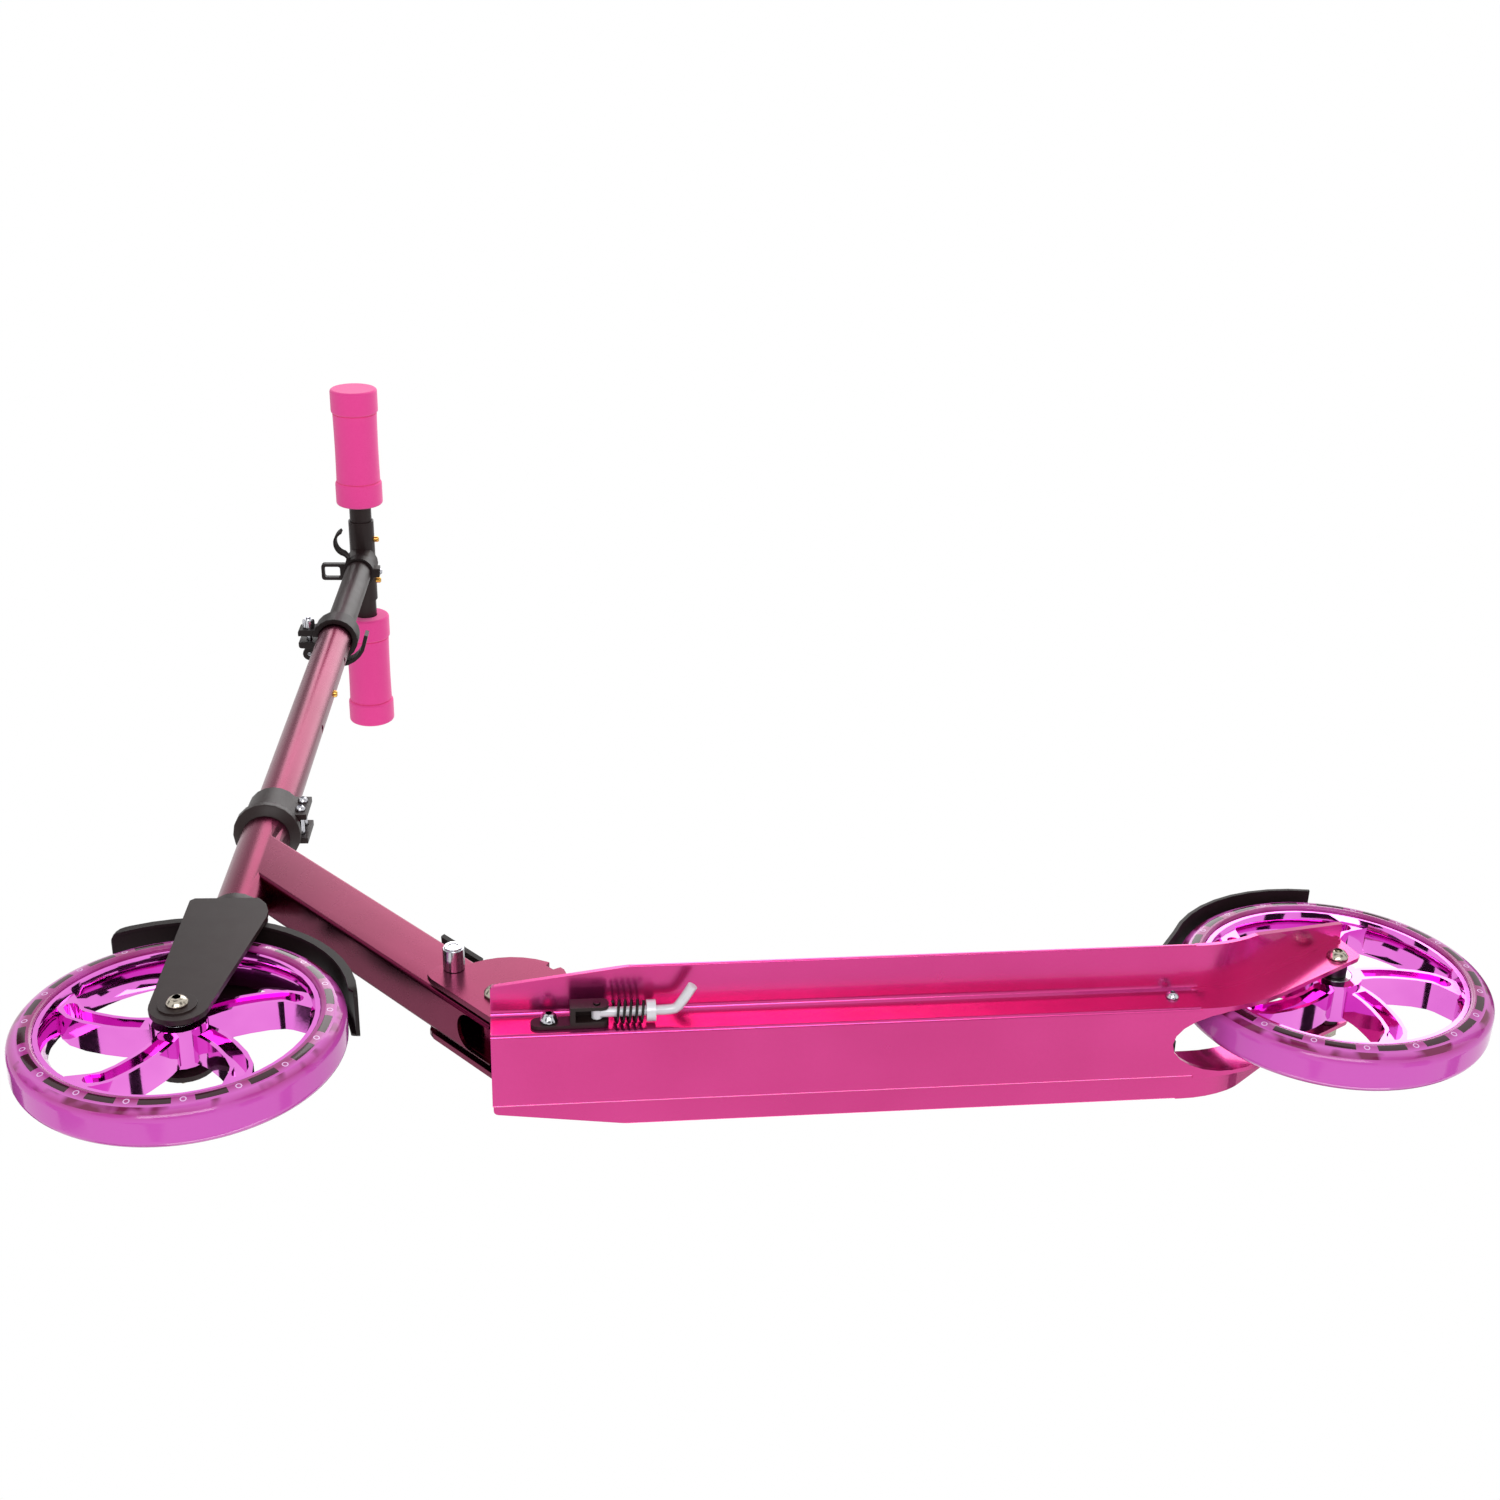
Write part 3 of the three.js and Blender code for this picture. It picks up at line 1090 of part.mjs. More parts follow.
const brakeSpring = join(
  ringY(BRAKE_PIN_R + RUN, BRAKE_PIN_R + 2, -6, 6, 0, 0, SIDES_SMALL),
  block(0, 26, 4.2, 5.8, -BRAKE_PIN_R - 2, -BRAKE_PIN_R - 0.6),
  block(0, 26, -5.8, -4.2, -BRAKE_PIN_R - 2, -BRAKE_PIN_R - 0.6),
);
place(chassis, "brake_spring", brakeSpring, darkSteel).position.set(BRAKE_PIN_X, 0, BRAKE_PIN_Z);

// ---------------------------------------------------------------- kickstand
const stand = new THREE.Group();
stand.position.set(STAND_X, STAND_OUT, STAND_Z);
chassis.add(stand);
const innerFace = BOX_HALF + GAP - STAND_OUT;
const checks = STAND_LEG_R + 0.8;
const tabTop = 6;
const tabLow = -4.8;
function standBracketGeometry() {
  const channel = roundedShape([
    [-7, tabLow, 4],
    [16, tabLow, 1],
    [16, tabTop, 1],
    [-7, tabTop, 4],
  ]);
  const tab = roundedShape([
    [-7, tabLow, 4],
    [STAND_TAB - 8, tabLow, 5],
    [STAND_TAB - 8, tabTop, 5],
    [-7, tabTop, 4],
  ]);
  const wall = 2.2;
  return cut(
    join(
      slabY(tab, innerFace, innerFace + wall),
      slabY(channel, checks, checks + wall),
      slabY(channel, innerFace, -checks),
      block(-6, 16, -checks - 1, checks + 1, tabTop - wall, tabTop),
      block(15 - wall, 16, -checks - 1, checks + 1, tabLow, tabTop),
    ),
    rodY(2.5 + RUN, -30, 30, STAND_TAB - 19, 2),
    rodY(2 + RUN, -30, 30, 0, 0, SIDES_SMALL),
  );
}
place(stand, "kickstand_bracket", standBracketGeometry(), blackPaint);
const standScrew = join(
  domeHead(5.6, 5, 2).translate(0, innerFace + 2.2 + GAP, 0),
  rodY(2.5, innerFace - DECK_WALL, innerFace + 2.2 + GAP + 0.5),
);
place(stand, "kickstand_screw", standScrew, zinc).position.set(STAND_TAB - 19, 0, 2);
const standPin = rodY(2, innerFace + GAP, checks + 2.2 + 0.8, 0, 0, SIDES_SMALL);
place(stand, "kickstand_pin", standPin, darkSteel);

function standLegGeometry() {
  const r = STAND_LEG_R;
  const footPath = new THREE.CatmullRomCurve3([
    new THREE.Vector3(-STAND_LENGTH + 8, 0, 0),
    new THREE.Vector3(-STAND_LENGTH, 1, 0),
    new THREE.Vector3(-STAND_LENGTH - 4, 6, 0),
    new THREE.Vector3(-STAND_LENGTH - 10, STAND_FOOT, 0),
  ]);
  const round = outline(arc(0, 0, r, 0, 330, 11));
  const foot = new THREE.ExtrudeGeometry(round, { steps: 10, extrudePath: footPath, bevelEnabled: false });
  return cut(
    join(
      rodX(r, -STAND_LENGTH + 7, 0, 0, 0, SIDES_SMALL),
      rodY(r + 0.3, -r, r, 0, 0, SIDES_SMALL),
      rodX(6.6, -35, -29.5, 0, 0, SIDES_MID),
      foot,
    ),
    rodY(2 + RUN, -20, 20, 0, 0, SIDES_SMALL),
  );
}
place(stand, "kickstand_leg", standLegGeometry(), whiteZinc);
const springTurns = 5;
const springPath = new THREE.CatmullRomCurve3(
  Array.from({ length: springTurns * 10 + 1 }, (_, i) => {
    const a = (2 * Math.PI * i) / 10;
    return new THREE.Vector3(-9.4 - (18.4 * i) / (springTurns * 10), 6.8 * Math.cos(a), 6.8 * Math.sin(a));
  }),
);
const wire = outline(arc(0, 0, 0.95, 0, 300, 5));
const standSpring = new THREE.ExtrudeGeometry(wire, {
  steps: springTurns * 8,
  extrudePath: springPath,
  bevelEnabled: false,
});
place(stand, "kickstand_spring", standSpring, darkSteel);

export default scooter;
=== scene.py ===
import json
from math import cos, pi, radians, sin, sqrt

import bmesh
import bpy
from mathutils import Matrix, Vector


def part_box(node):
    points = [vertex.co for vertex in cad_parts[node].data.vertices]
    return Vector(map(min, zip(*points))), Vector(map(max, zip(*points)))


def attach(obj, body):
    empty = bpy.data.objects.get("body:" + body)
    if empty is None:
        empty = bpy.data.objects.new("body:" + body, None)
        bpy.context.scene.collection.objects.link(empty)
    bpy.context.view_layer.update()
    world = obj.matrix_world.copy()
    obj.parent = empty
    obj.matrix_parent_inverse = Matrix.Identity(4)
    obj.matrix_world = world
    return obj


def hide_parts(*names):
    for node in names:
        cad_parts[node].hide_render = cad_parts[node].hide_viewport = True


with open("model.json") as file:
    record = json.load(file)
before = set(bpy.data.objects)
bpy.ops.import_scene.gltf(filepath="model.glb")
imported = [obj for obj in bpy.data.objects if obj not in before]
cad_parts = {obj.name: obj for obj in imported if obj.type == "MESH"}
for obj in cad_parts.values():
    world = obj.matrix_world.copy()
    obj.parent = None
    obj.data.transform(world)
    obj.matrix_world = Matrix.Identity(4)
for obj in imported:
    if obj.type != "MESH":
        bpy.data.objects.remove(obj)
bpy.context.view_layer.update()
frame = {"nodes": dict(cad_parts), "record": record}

scene = bpy.context.scene
NODES = frame["nodes"]
BODY_OF = {
    node: body for body, nodes in frame["record"]["behaviour"]["bodies"].items() for node in nodes
}
SLOT_OF = {part["node"]: part["material_slot"] for part in frame["record"]["subparts"]}
MM = 0.001


def centre(node):
    low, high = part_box(node)
    return (Vector(low) + Vector(high)) / 2


# ---------------------------------------------------------------- camera
# The viewpoint is below and in front of the deck, so the deck's underside shows.
CAMERA_PLACE = (0.15475, 0.6539, -0.9270)
CAMERA_FORWARD = (-0.1169, -0.4144, 0.9025)
CAMERA_UP = (-0.0232, 0.9097, 0.4147)
CAMERA_LENS = 46.3
CAMERA_SENSOR = 36.0
NEAR_CLIP = 0.01


def add_camera():
    data = bpy.data.cameras.new("camera")
    data.lens = CAMERA_LENS
    data.sensor_width = CAMERA_SENSOR
    data.clip_start = NEAR_CLIP
    camera = bpy.data.objects.new("camera", data)
    scene.collection.objects.link(camera)
    forward = Vector(CAMERA_FORWARD).normalized()
    right = forward.cross(Vector(CAMERA_UP)).normalized()
    up = right.cross(forward).normalized()
    turn = Matrix((right, up, -forward)).transposed().to_4x4()
    camera.matrix_world = Matrix.Translation(CAMERA_PLACE) @ turn
    scene.camera = camera


# ---------------------------------------------------------------- light
# The background is white to the camera, to reflections and through clear pieces. What lights
# the object is a weaker fill.
WHITE = (1, 1, 1, 1)
FILL_COLOR = (0.97, 0.98, 1, 1)
FILL_STRENGTH = 0.62

# Each softbox: name, place, target, width, height, watts.
SOFTBOXES = (
    ("key", (0.25, 1.5, -1.8), (0, 0, 0.1), 1.9, 0.7, 22),
    ("top", (-0.4, 0.9, 2.2), (0, 0, 0.2), 1.8, 1.8, 26),
    ("back", (-0.3, -2.1, -0.5), (0, 0, 0.1), 1.9, 0.6, 12),
)


def add_world():
    world = bpy.data.worlds.new("studio")
    scene.world = world
    world.use_nodes = True
    tree = world.node_tree
    tree.nodes.clear()
    out = tree.nodes.new("ShaderNodeOutputWorld")
    seen = tree.nodes.new("ShaderNodeBackground")
    seen.inputs["Color"].default_value = WHITE
    seen.inputs["Strength"].default_value = 1.0
    fill = tree.nodes.new("ShaderNodeBackground")
    fill.inputs["Color"].default_value = FILL_COLOR
    fill.inputs["Strength"].default_value = FILL_STRENGTH
    path = tree.nodes.new("ShaderNodeLightPath")
    either, any_of = (tree.nodes.new("ShaderNodeMath") for _ in range(2))
    either.operation = any_of.operation = "MAXIMUM"
    mix = tree.nodes.new("ShaderNodeMixShader")
    link = tree.links.new
    link(path.outputs["Is Camera Ray"], either.inputs[0])
    link(path.outputs["Is Glossy Ray"], either.inputs[1])
    link(either.outputs[0], any_of.inputs[0])
    link(path.outputs["Is Transmission Ray"], any_of.inputs[1])
    link(any_of.outputs[0], mix.inputs["Fac"])
    link(fill.outputs[0], mix.inputs[1])
    link(seen.outputs[0], mix.inputs[2])
    link(mix.outputs[0], out.inputs["Surface"])


def add_softbox(name, place, target, width, height, watts):
    data = bpy.data.lights.new(name, "AREA")
    data.shape = "RECTANGLE"
    data.size = width
    data.size_y = height
    data.energy = watts
    lamp = bpy.data.objects.new(name, data)
    lamp.location = place
    lamp.rotation_euler = (Vector(target) - Vector(place)).to_track_quat("-Z", "Y").to_euler()
    scene.collection.objects.link(lamp)


# A unit panel's corners, in order round its edge.
SQUARE = ((-1, -1), (1, -1), (1, 1), (-1, 1))


def add_panel(name, corners, material):
    mesh = bpy.data.meshes.new(name)
    mesh.from_pydata(corners, [], [tuple(range(len(corners)))])
    mesh.materials.append(material)
    panel = bpy.data.objects.new(name, mesh)
    scene.collection.objects.link(panel)
    return panel


# The floor is plain and pale, and shows from above only, because the main view looks up from
# below it.
FLOOR_REACH = 6.0
FLOOR_DROP = 0.5 * MM


def add_floor():
    material = bpy.data.materials.new("floor")
    material.use_nodes = True
    tree = material.node_tree
    shader = tree.nodes["Principled BSDF"]
    shader.inputs["Roughness"].default_value = 0.85
    grain = tree.nodes.new("ShaderNodeTexNoise")
    grain.inputs["Scale"].default_value = 6
    ramp = tree.nodes.new("ShaderNodeValToRGB")
    ramp.color_ramp.elements[0].color = (0.86, 0.86, 0.86, 1)
    ramp.color_ramp.elements[1].color = (0.9, 0.9, 0.9, 1)
    side = tree.nodes.new("ShaderNodeNewGeometry")
    clear = tree.nodes.new("ShaderNodeBsdfTransparent")
    mix = tree.nodes.new("ShaderNodeMixShader")
    link = tree.links.new
    link(grain.outputs["Fac"], ramp.inputs["Fac"])
    link(ramp.outputs["Color"], shader.inputs["Base Color"])
    link(side.outputs["Backfacing"], mix.inputs["Fac"])
    link(shader.outputs[0], mix.inputs[1])
    link(clear.outputs[0], mix.inputs[2])
    link(mix.outputs[0], tree.nodes["Material Output"].inputs["Surface"])
    corners = [(x * FLOOR_REACH, y * FLOOR_REACH, 0) for x, y in SQUARE]
    floor = add_panel("floor", corners, material)
    floor.location.z = -FLOOR_DROP
    floor.visible_shadow = False
    floor.visible_diffuse = False
    floor.visible_glossy = False


# Black studio cards all round, seen only in reflections, give bright metal its dark patches.
CARDS = 20
CARD_DISTANCE = 2.7
CARD_MIDDLE = Vector((0, 0, 0.3))
CARD_BLACK = (0.005, 0.005, 0.005, 1)
CARD_WIDTHS = (1.1, 1.7)
CARD_HEIGHTS = (0.45, 0.8)
GOLDEN_TURN = pi * (3 - sqrt(5))


def add_cards():
    black = bpy.data.materials.new("card")
    black.use_nodes = True
    shader = black.node_tree.nodes["Principled BSDF"]
    shader.inputs["Base Color"].default_value = CARD_BLACK
    shader.inputs["Roughness"].default_value = 1
    for i in range(CARDS):
        rise = 1 - (2 * i + 1) / CARDS
        flat = sqrt(1 - rise * rise)
        outward = Vector((flat * cos(i * GOLDEN_TURN), flat * sin(i * GOLDEN_TURN), rise))
        across = outward.cross(Vector((0, 0, 1))).normalized()
        up = across.cross(outward)
        half_width = CARD_WIDTHS[bool(i % 2)] / 2
        half_height = CARD_HEIGHTS[bool(i % 3)] / 2
        corners = [
            CARD_MIDDLE + outward * CARD_DISTANCE + across * x * half_width + up * z * half_height
            for x, z in SQUARE
        ]
        card = add_panel(f"card_{i}", corners, black)
        card.visible_camera = False
        card.visible_shadow = False
        card.visible_diffuse = False
        card.visible_transmission = False


# ---------------------------------------------------------------- materials
def srgb(red, green, blue):
    def linear(value):
        value /= 255
        return value / 12.92 if value <= 0.04045 else ((value + 0.055) / 1.055) ** 2.4

    return (linear(red), linear(green), linear(blue), 1)


class Finish:
    """A Principled material with its position in metres and small helpers for its nodes."""

    def __init__(self, name, **values):
        self.material = bpy.data.materials.new(name)
        self.material.use_nodes = True
        self.tree = self.material.node_tree
        self.shader = self.tree.nodes["Principled BSDF"]
        for socket, value in values.items():
            self.shader.inputs[socket.replace("_", " ")].default_value = value
        self.place = self.node("ShaderNodeTexCoord").outputs["Object"]

    def node(self, kind, **values):
        made = self.tree.nodes.new(kind)
        for key, value in values.items():
            setattr(made, key, value)
        return made

    def link(self, source, target):
        self.tree.links.new(source, target)

    def math(self, operation, first, second=0.0):
        made = self.node("ShaderNodeMath", operation=operation)
        for socket, value in zip(made.inputs, (first, second)):
            if isinstance(value, (int, float)):
                socket.default_value = value
            else:
                self.link(value, socket)
        return made.outputs[0]

    def noise(self, scale, detail=3.0, stretch=None):
        made = self.node("ShaderNodeTexNoise")
        made.inputs["Scale"].default_value = scale
        made.inputs["Detail"].default_value = detail
        source = self.place
        if stretch:
            mapping = self.node("ShaderNodeMapping")
            mapping.inputs["Scale"].default_value = stretch
            self.link(source, mapping.inputs["Vector"])
            source = mapping.outputs[0]
        self.link(source, made.inputs["Vector"])
        return made.outputs["Fac"]

    def ramp(self, fac, *stops):
        made = self.node("ShaderNodeValToRGB")
        elements = made.color_ramp.elements
        while len(elements) < len(stops):
            elements.new(0.5)
        for element, (position, color) in zip(elements, stops):
            element.position = position
            element.color = color
        self.link(fac, made.inputs["Fac"])
        return made.outputs["Color"]

    def range(self, fac, low, high):
        made = self.node("ShaderNodeMapRange")
        made.inputs["To Min"].default_value = low
        made.inputs["To Max"].default_value = high
        self.link(fac, made.inputs["Value"])
        return made.outputs[0]

    def mix(self, fac, first, second):
        made = self.node("ShaderNodeMix", data_type="RGBA")
        self.link(fac, made.inputs["Factor"])
        for socket, value in ((made.inputs[6], first), (made.inputs[7], second)):
            if isinstance(value, tuple):
                socket.default_value = value
            else:
                self.link(value, socket)
        return made.outputs[2]

    def base(self, color):
        self.link(color, self.shader.inputs["Base Color"])

    def rough(self, value):
        self.link(value, self.shader.inputs["Roughness"])

    def bump(self, height, strength, distance):
        made = self.node("ShaderNodeBump")
        made.inputs["Strength"].default_value = strength
        made.inputs["Distance"].default_value = distance
        self.link(height, made.inputs["Height"])
        self.link(made.outputs[0], self.shader.inputs["Normal"])


def candy_pink():
    finish = Finish("candy_pink_metal", Metallic=0.9, Coat_Weight=0.4, Coat_Roughness=0.04)
    flake = finish.noise(1400, 2)
    drift = finish.noise(9, 2)
    flat = finish.ramp(drift, (0.3, srgb(208, 58, 136)), (0.7, srgb(224, 70, 152)))
    finish.base(finish.mix(finish.range(flake, 0, 0.4), flat, srgb(186, 30, 106)))
    finish.rough(finish.range(finish.noise(60, 4), 0.2, 0.3))
    finish.bump(flake, 0.05, 0.00008)
    return finish.material


def wine_pink():
    finish = Finish("wine_pink_metal", Metallic=1.0)
    flake = finish.noise(1400, 2)
    flat = finish.ramp(finish.noise(8, 2), (0.3, srgb(112, 28, 62)), (0.7, srgb(124, 34, 72)))
    finish.base(finish.mix(finish.range(flake, 0, 0.4), flat, srgb(88, 14, 44)))
    finish.rough(finish.range(finish.noise(60, 4), 0.24, 0.3))
    finish.bump(flake, 0.05, 0.00008)
    return finish.material


def pink_chrome():
    finish = Finish("pink_chrome", Metallic=1.0)
    drift = finish.noise(22, 3)
    finish.base(finish.ramp(drift, (0.3, srgb(226, 112, 214)), (0.7, srgb(240, 130, 226))))
    finish.rough(finish.range(finish.noise(180, 4), 0.03, 0.1))
    finish.bump(finish.noise(420, 3), 0.04, 0.0001)
    return finish.material


# The tyre's wall shows dark windows round the rim, one moulded ring between each two.
# Its colour holds painted light: highlight and shade bands by radius, painted shade in the
# sunken windows and a painted highlight on each ring.
WINDOWS = 18
WINDOW_R = 90 * MM
WINDOW_HALF_HEIGHT = 2.4 * MM
WINDOW_HALF_SHARE = 0.29
MOULDED_RING_R = 1.6 * MM
MOULDED_RING_HALF = 0.35 * MM
PATCH_R = 95.8 * MM
PATCH_HALF = 1.9 * MM


def tyre_pink(name, hub):
    finish = Finish(name, Coat_Weight=0.2, Coat_Roughness=0.1, Specular_IOR_Level=0.3)

    def length(first, second):
        squares = [finish.math("MULTIPLY", side, side) for side in (first, second)]
        return finish.math("SQRT", finish.math("ADD", *squares))

    def within(value, middle, half):
        off = finish.math("ABSOLUTE", finish.math("SUBTRACT", value, middle))
        return finish.math("LESS_THAN", off, half)

    split = finish.node("ShaderNodeSeparateXYZ")
    finish.link(finish.place, split.inputs[0])
    across = finish.math("SUBTRACT", split.outputs["X"], hub.x)
    rise = finish.math("SUBTRACT", split.outputs["Z"], hub.z)
    radius = length(across, rise)
    turn = finish.math("MULTIPLY", finish.math("ARCTAN2", rise, across), WINDOWS / (2 * pi))
    share = finish.math("ABSOLUTE", finish.math("SUBTRACT", finish.math("FRACT", turn), 0.5))
    in_width = finish.math("LESS_THAN", share, WINDOW_HALF_SHARE)
    in_height = within(radius, WINDOW_R, WINDOW_HALF_HEIGHT)
    window = finish.math("MULTIPLY", in_width, in_height)
    pitch = 2 * pi * WINDOW_R / WINDOWS
    arc_off = finish.math("MULTIPLY", finish.math("SUBTRACT", 0.5, share), pitch)
    rise_off = finish.math("SUBTRACT", radius, WINDOW_R)
    ring = within(length(arc_off, rise_off), MOULDED_RING_R, MOULDED_RING_HALF)
    # Painted highlight and shade: the wall's colour brightens in bands near 93.2 mm and 99 mm
    # radius and darkens between them, as light falls on the curved wall.
    wall_painted_bands = finish.ramp(
        radius,
        (0.084, srgb(160, 50, 120)),
        (0.0926, srgb(172, 58, 128)),
        (0.0932, srgb(230, 122, 216)),
        (0.0952, srgb(200, 78, 164)),
        (0.0975, srgb(176, 56, 132)),
        (0.0990, srgb(242, 106, 226)),
    )
    cloud = finish.mix(finish.range(finish.noise(26, 4), -0.7, 1.1), wall_painted_bands, srgb(216, 92, 196))
    in_wall = within(radius, PATCH_R, PATCH_HALF)
    patch = finish.ramp(finish.noise(46, 2), (0.5, srgb(0, 0, 0)), (0.6, srgb(255, 255, 255)))
    cloud = finish.mix(finish.math("MULTIPLY", in_wall, patch), cloud, srgb(128, 36, 84))
    # Painted shade: the sunken windows are coloured dark.
    dark = finish.mix(window, cloud, srgb(62, 26, 40))
    # Painted highlight: the raised moulded ring is coloured near-white.
    finish.base(finish.mix(ring, dark, srgb(240, 190, 240)))
    finish.rough(finish.range(finish.noise(120, 3), 0.06, 0.16))
    finish.bump(finish.math("SUBTRACT", ring, window), 0.4, 0.0006)
    return finish.material


def foam_pink():
    finish = Finish("foam_pink", Sheen_Weight=0.35, Sheen_Roughness=0.5, Specular_IOR_Level=0.2)
    pores = finish.noise(1500, 3)
    depth = finish.range(pores, -0.2, 0.9)
    finish.base(finish.mix(depth, srgb(255, 84, 168), srgb(240, 52, 142)))
    finish.rough(finish.range(pores, 0.75, 0.95))
    finish.bump(pores, 0.35, 0.0004)
    return finish.material


def black_plastic():
    finish = Finish("black_plastic", Specular_IOR_Level=0.25)
    grain = finish.noise(900, 4)
    drift = finish.noise(14, 3)
    finish.base(finish.ramp(drift, (0.3, srgb(22, 14, 14)), (0.7, srgb(32, 22, 22))))
    finish.rough(finish.range(grain, 0.38, 0.55))
    finish.bump(grain, 0.18, 0.0002)
    return finish.material


def black_paint():
    finish = Finish("black_paint", Specular_IOR_Level=0.3)
    peel = finish.noise(500, 3)
    drift = finish.noise(10, 3)
    finish.base(finish.ramp(drift, (0.3, srgb(32, 20, 20)), (0.7, srgb(44, 30, 30))))
    finish.rough(finish.range(finish.noise(80, 4), 0.36, 0.5))
    finish.bump(peel, 0.08, 0.0002)
    return finish.material


def grip_tape():
    finish = Finish("grip_tape", Specular_IOR_Level=0.6)
    grit = finish.noise(1800, 4)
    finish.base(finish.ramp(grit, (0.35, srgb(20, 19, 20)), (0.7, srgb(66, 64, 66))))
    finish.rough(finish.range(grit, 0.7, 1))
    finish.bump(grit, 0.9, 0.0008)
    return finish.material


BRUSHED_ALONG = (1, 40, 1)


def metal(name, dark, light, low, high):
    finish = Finish(name, Metallic=1.0)
    brush = finish.noise(160, 4, BRUSHED_ALONG)
    finish.base(finish.ramp(brush, (0.3, dark), (0.75, light)))
    finish.rough(finish.range(brush, low, high))
    finish.bump(brush, 0.06, 0.0001)
    return finish.material


def white_zinc():
    finish = Finish("white_zinc", Metallic=0.2, Coat_Weight=0.3, Coat_Roughness=0.2)
    drift = finish.noise(60, 4)
    finish.base(finish.ramp(drift, (0.3, srgb(214, 210, 216)), (0.7, srgb(236, 233, 238))))
    finish.rough(finish.range(finish.noise(200, 3), 0.3, 0.45))
    finish.bump(finish.noise(300, 3), 0.1, 0.0002)
    return finish.material


MATERIALS = {
    "candy_pink_metal": candy_pink(),
    "wine_pink_metal": wine_pink(),
    "pink_chrome": pink_chrome(),
    "foam_pink": foam_pink(),
    "black_plastic": black_plastic(),
    "black_paint": black_paint(),
    "grip_tape": grip_tape(),
    "steel": metal("steel", srgb(160, 150, 136), srgb(214, 206, 192), 0.14, 0.28),
    "zinc": metal("zinc", srgb(178, 178, 184), srgb(222, 222, 228), 0.1, 0.25),
    "brass": metal("brass", srgb(196, 142, 58), srgb(236, 190, 104), 0.12, 0.25),
    "dark_steel": metal("dark_steel", srgb(34, 32, 32), srgb(70, 66, 66), 0.28, 0.45),
    "white_zinc": white_zinc(),
}
WINE = {"neck", "lower_column", "fold_plate_left", "fold_plate_right"}


def material_for(node):
    if node in WINE:
        return MATERIALS["wine_pink_metal"]
    return MATERIALS[SLOT_OF[node]]


# ---------------------------------------------------------------- finer copies of hard pieces
# Each hard piece is its CAD solid with its flat faces made whole, its edges rounded and its
# round faces smooth. Rounding is in millimetres, from how crisp the real piece's edges look.
ROUNDING = {
    "deck": 0.5, "neck": 0.6, "fork": 0.9, "front_fender": 0.7, "brake_fender": 0.7,
    "column_clamp": 0.7, "clamp_lever": 0.7, "lock_lever": 0.7, "handle_clip": 0.5,
    "fork_collar": 0.7, "kickstand_bracket": 0.4, "headset_bearing_top": 0.5,
    "fold_plate_left": 0.4, "fold_plate_right": 0.4, "front_rim": 1.1, "rear_rim": 1.1,
    "lower_column": 0.4, "upper_column": 0.5, "grip_tape": 0.2,
}
USUAL_ROUNDING = 0.25
WELD = 0.002 * MM
FLAT_ANGLE = radians(1)
BEVEL_ANGLE = radians(48)
CREASE_ANGLE = radians(40)
TURNED_CREASE_ANGLE = radians(50)


def fine_copy(node):
    mesh = NODES[node].data.copy()
    mesh.name = node + "_fine"
    work = bmesh.new()
    work.from_mesh(mesh)
    bmesh.ops.remove_doubles(work, verts=work.verts, dist=WELD)
    bmesh.ops.dissolve_limit(
        work,
        angle_limit=FLAT_ANGLE,
        verts=work.verts,
        edges=work.edges,
        use_dissolve_boundaries=False,
    )
    sharp = [
        edge for edge in work.edges if edge.is_manifold and edge.calc_face_angle(0) > BEVEL_ANGLE
    ]
    bmesh.ops.bevel(
        work,
        geom=sharp,
        offset=ROUNDING.get(node, USUAL_ROUNDING) * MM,
        segments=2,
        profile=0.5,
        affect="EDGES",
        clamp_overlap=True,
    )
    bmesh.ops.triangulate(work, faces=[face for face in work.faces if len(face.verts) > 4])
    for face in work.faces:
        face.smooth = True
    work.to_mesh(mesh)
    work.free()
    if mesh.has_custom_normals:
        mesh.normals_split_custom_set([(0, 0, 0)] * len(mesh.loops))
    mesh.set_sharp_from_angle(angle=CREASE_ANGLE)
    mesh.materials.clear()
    mesh.materials.append(material_for(node))
    return finished(node, mesh)


# A new piece that stands for a CAD node: same body, with the CAD node hidden.
def finished(node, mesh):
    piece = bpy.data.objects.new(node + "_look", mesh)
    scene.collection.objects.link(piece)
    weighted = piece.modifiers.new("even shading", "WEIGHTED_NORMAL")
    weighted.keep_sharp = True
    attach(piece, BODY_OF[node])
    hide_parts(node)
    return piece


# A profile of (radius, y) in metres turned round the Y axis at a centre. A closed profile joins
# its last point to its first; an open one gets a flat face at each end.
def turned(name, profile, hub, sides, material, closed):
    work = bmesh.new()
    turns = [2 * pi * i / sides for i in range(sides)]
    rings = [
        [
            work.verts.new((hub.x + radius * cos(t), hub.y + y, hub.z + radius * sin(t)))
            for t in turns
        ]
        for radius, y in profile
    ]
    for first, second in zip(rings, rings[1:] + rings[:1] if closed else rings[1:]):
        for i in range(sides):
            k = (i + 1) % sides
            work.faces.new((first[i], second[i], second[k], first[k]))
    if not closed:
        work.faces.new(rings[0])
        work.faces.new(rings[-1])
    bmesh.ops.recalc_face_normals(work, faces=work.faces)
    for face in work.faces:
        face.smooth = True
    mesh = bpy.data.meshes.new(name)
    work.to_mesh(mesh)
    work.free()
    mesh.set_sharp_from_angle(angle=TURNED_CREASE_ANGLE)
    mesh.materials.append(material)
    return mesh


# The tyre's section: a rounded bead against the rim, then a wall that rounds into the tread.
TYRE_SIDES = 120
TYRE_GAP = 0.3 * MM
TREAD_FALL = 9 * MM
TREAD_STEPS = 12


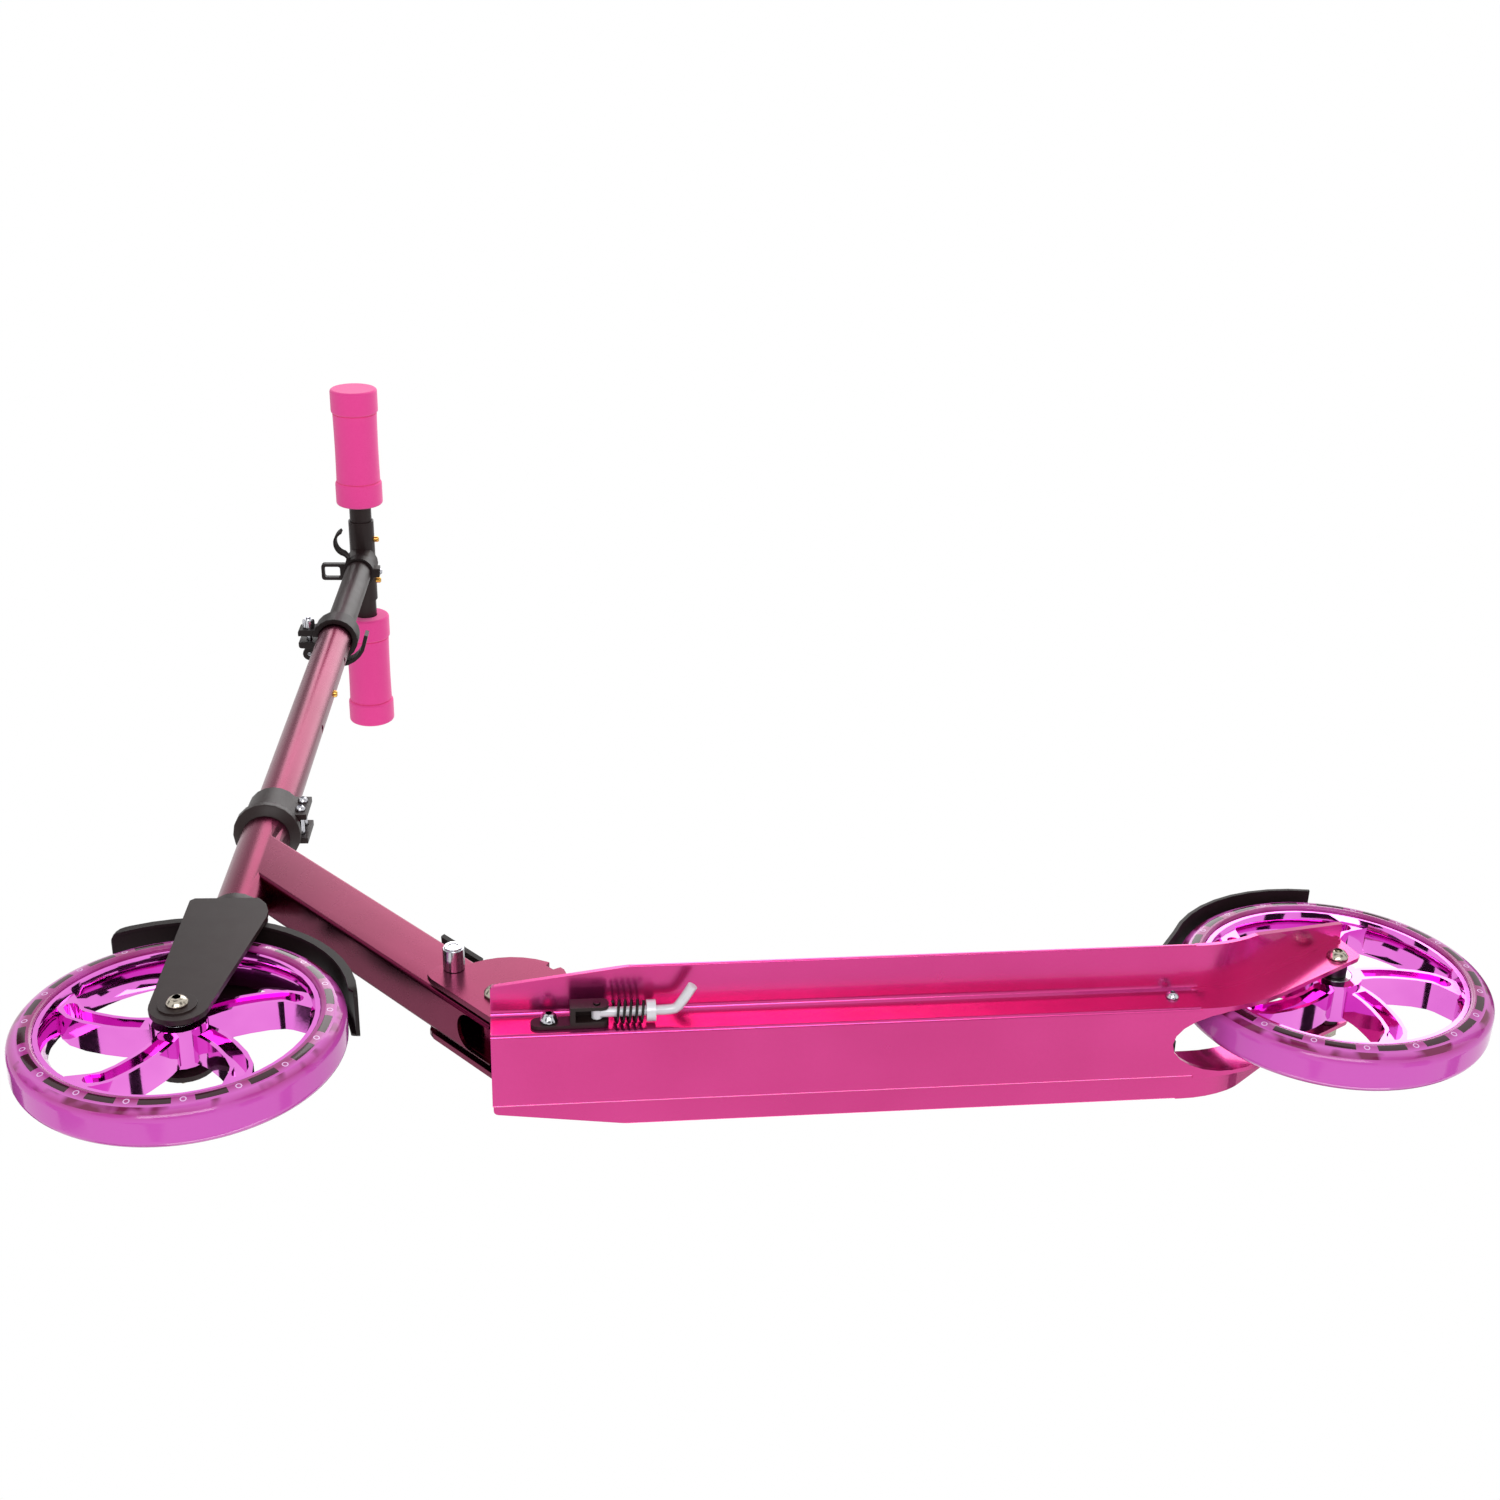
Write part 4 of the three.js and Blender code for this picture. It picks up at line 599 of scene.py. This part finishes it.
def add_tyre(side):
    node = side + "_tyre"
    low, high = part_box(side + "_rim")
    hub = centre(side + "_rim")
    tyre_low, tyre_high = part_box(node)
    outer = (tyre_high[0] - tyre_low[0]) / 2
    inner = (high[0] - low[0]) / 2 + TYRE_GAP
    half = (tyre_high[1] - tyre_low[1]) / 2
    bead = [
        (inner, half - 1.6 * MM),
        (inner + 0.5 * MM, half - 0.7 * MM),
        (inner + 1.4 * MM, half - 0.1 * MM),
    ]
    shoulder = inner + 2.5 * MM
    tread = [
        (shoulder + (outer - shoulder) * sin(t), half - TREAD_FALL * (1 - cos(t)))
        for t in (i * pi / 2 / TREAD_STEPS for i in range(TREAD_STEPS + 1))
    ]
    profile = bead + tread
    profile += [(radius, -y) for radius, y in reversed(profile)]
    finish = tyre_pink(side + "_tyre_pink", hub)
    mesh = turned(node, profile, hub, TYRE_SIDES, finish, closed=True)
    finished(node, mesh)


# A foam grip: two plump end rings, a shallow groove beside each, and a soft waist between them.
GRIP_SIDES = 72
GRIP_BORE = 11.4 * MM
GRIP_RING = 24 * MM
GRIP_SOFT = 2.6 * MM
WAIST_DROP = 1.4 * MM
WAIST_HOLLOW = 0.35 * MM
WAIST_STEPS = 16
GROOVE_DROP = 1.1 * MM
GROOVE_WIDTH = 0.8 * MM
GROOVE_INSET = 0.2 * MM
ROUND_TURNS = (0, 0.4, 0.8, 1.2, pi / 2)


def add_grip(side):
    node = "grip_" + side
    low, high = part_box(node)
    length = high[1] - low[1]
    middle = centre(node)
    end_r = (high[2] - low[2]) / 2
    waist_r = end_r - WAIST_DROP
    groove_r = waist_r - GROOVE_DROP
    outward = 1 if middle.y > 0 else -1

    def ring_profile(start, stop):
        core = end_r - GRIP_SOFT
        rise = [(core + GRIP_SOFT * sin(t), start + GRIP_SOFT * (1 - cos(t))) for t in ROUND_TURNS]
        fall = [(core + GRIP_SOFT * cos(t), stop - GRIP_SOFT * (1 - sin(t))) for t in ROUND_TURNS]
        return rise + fall

    waist_start = GRIP_RING + GROOVE_WIDTH
    waist_length = length - 2 * waist_start
    waist = [
        (waist_r - WAIST_HOLLOW * sin(pi * share), waist_start + waist_length * share)
        for share in (i / WAIST_STEPS for i in range(WAIST_STEPS + 1))
    ]
    profile = [(GRIP_BORE, 0.6 * MM), (GRIP_BORE, 0.0)]
    profile += ring_profile(0, GRIP_RING)
    profile += [(groove_r, GRIP_RING + GROOVE_INSET)]
    profile += waist
    profile += [(groove_r, length - GRIP_RING - GROOVE_INSET)]
    profile += ring_profile(length - GRIP_RING, length)
    profile += [(GRIP_BORE * 0.6, length - 0.4 * MM)]
    placed = [(radius, outward * (y - length / 2)) for radius, y in profile]
    mesh = turned(node, placed, middle, GRIP_SIDES, MATERIALS["foam_pink"], closed=False)
    piece = finished(node, mesh)


def dress_object():
    replaced = {"front_tyre", "rear_tyre", "grip_left", "grip_right"}
    for side in ("front", "rear"):
        add_tyre(side)
    for side in ("left", "right"):
        add_grip(side)
    for node in NODES:
        if node not in replaced:
            fine_copy(node)


add_camera()
add_world()
for softbox in SOFTBOXES:
    add_softbox(*softbox)
add_floor()
add_cards()
dress_object()

scene.view_settings.view_transform = "Standard"
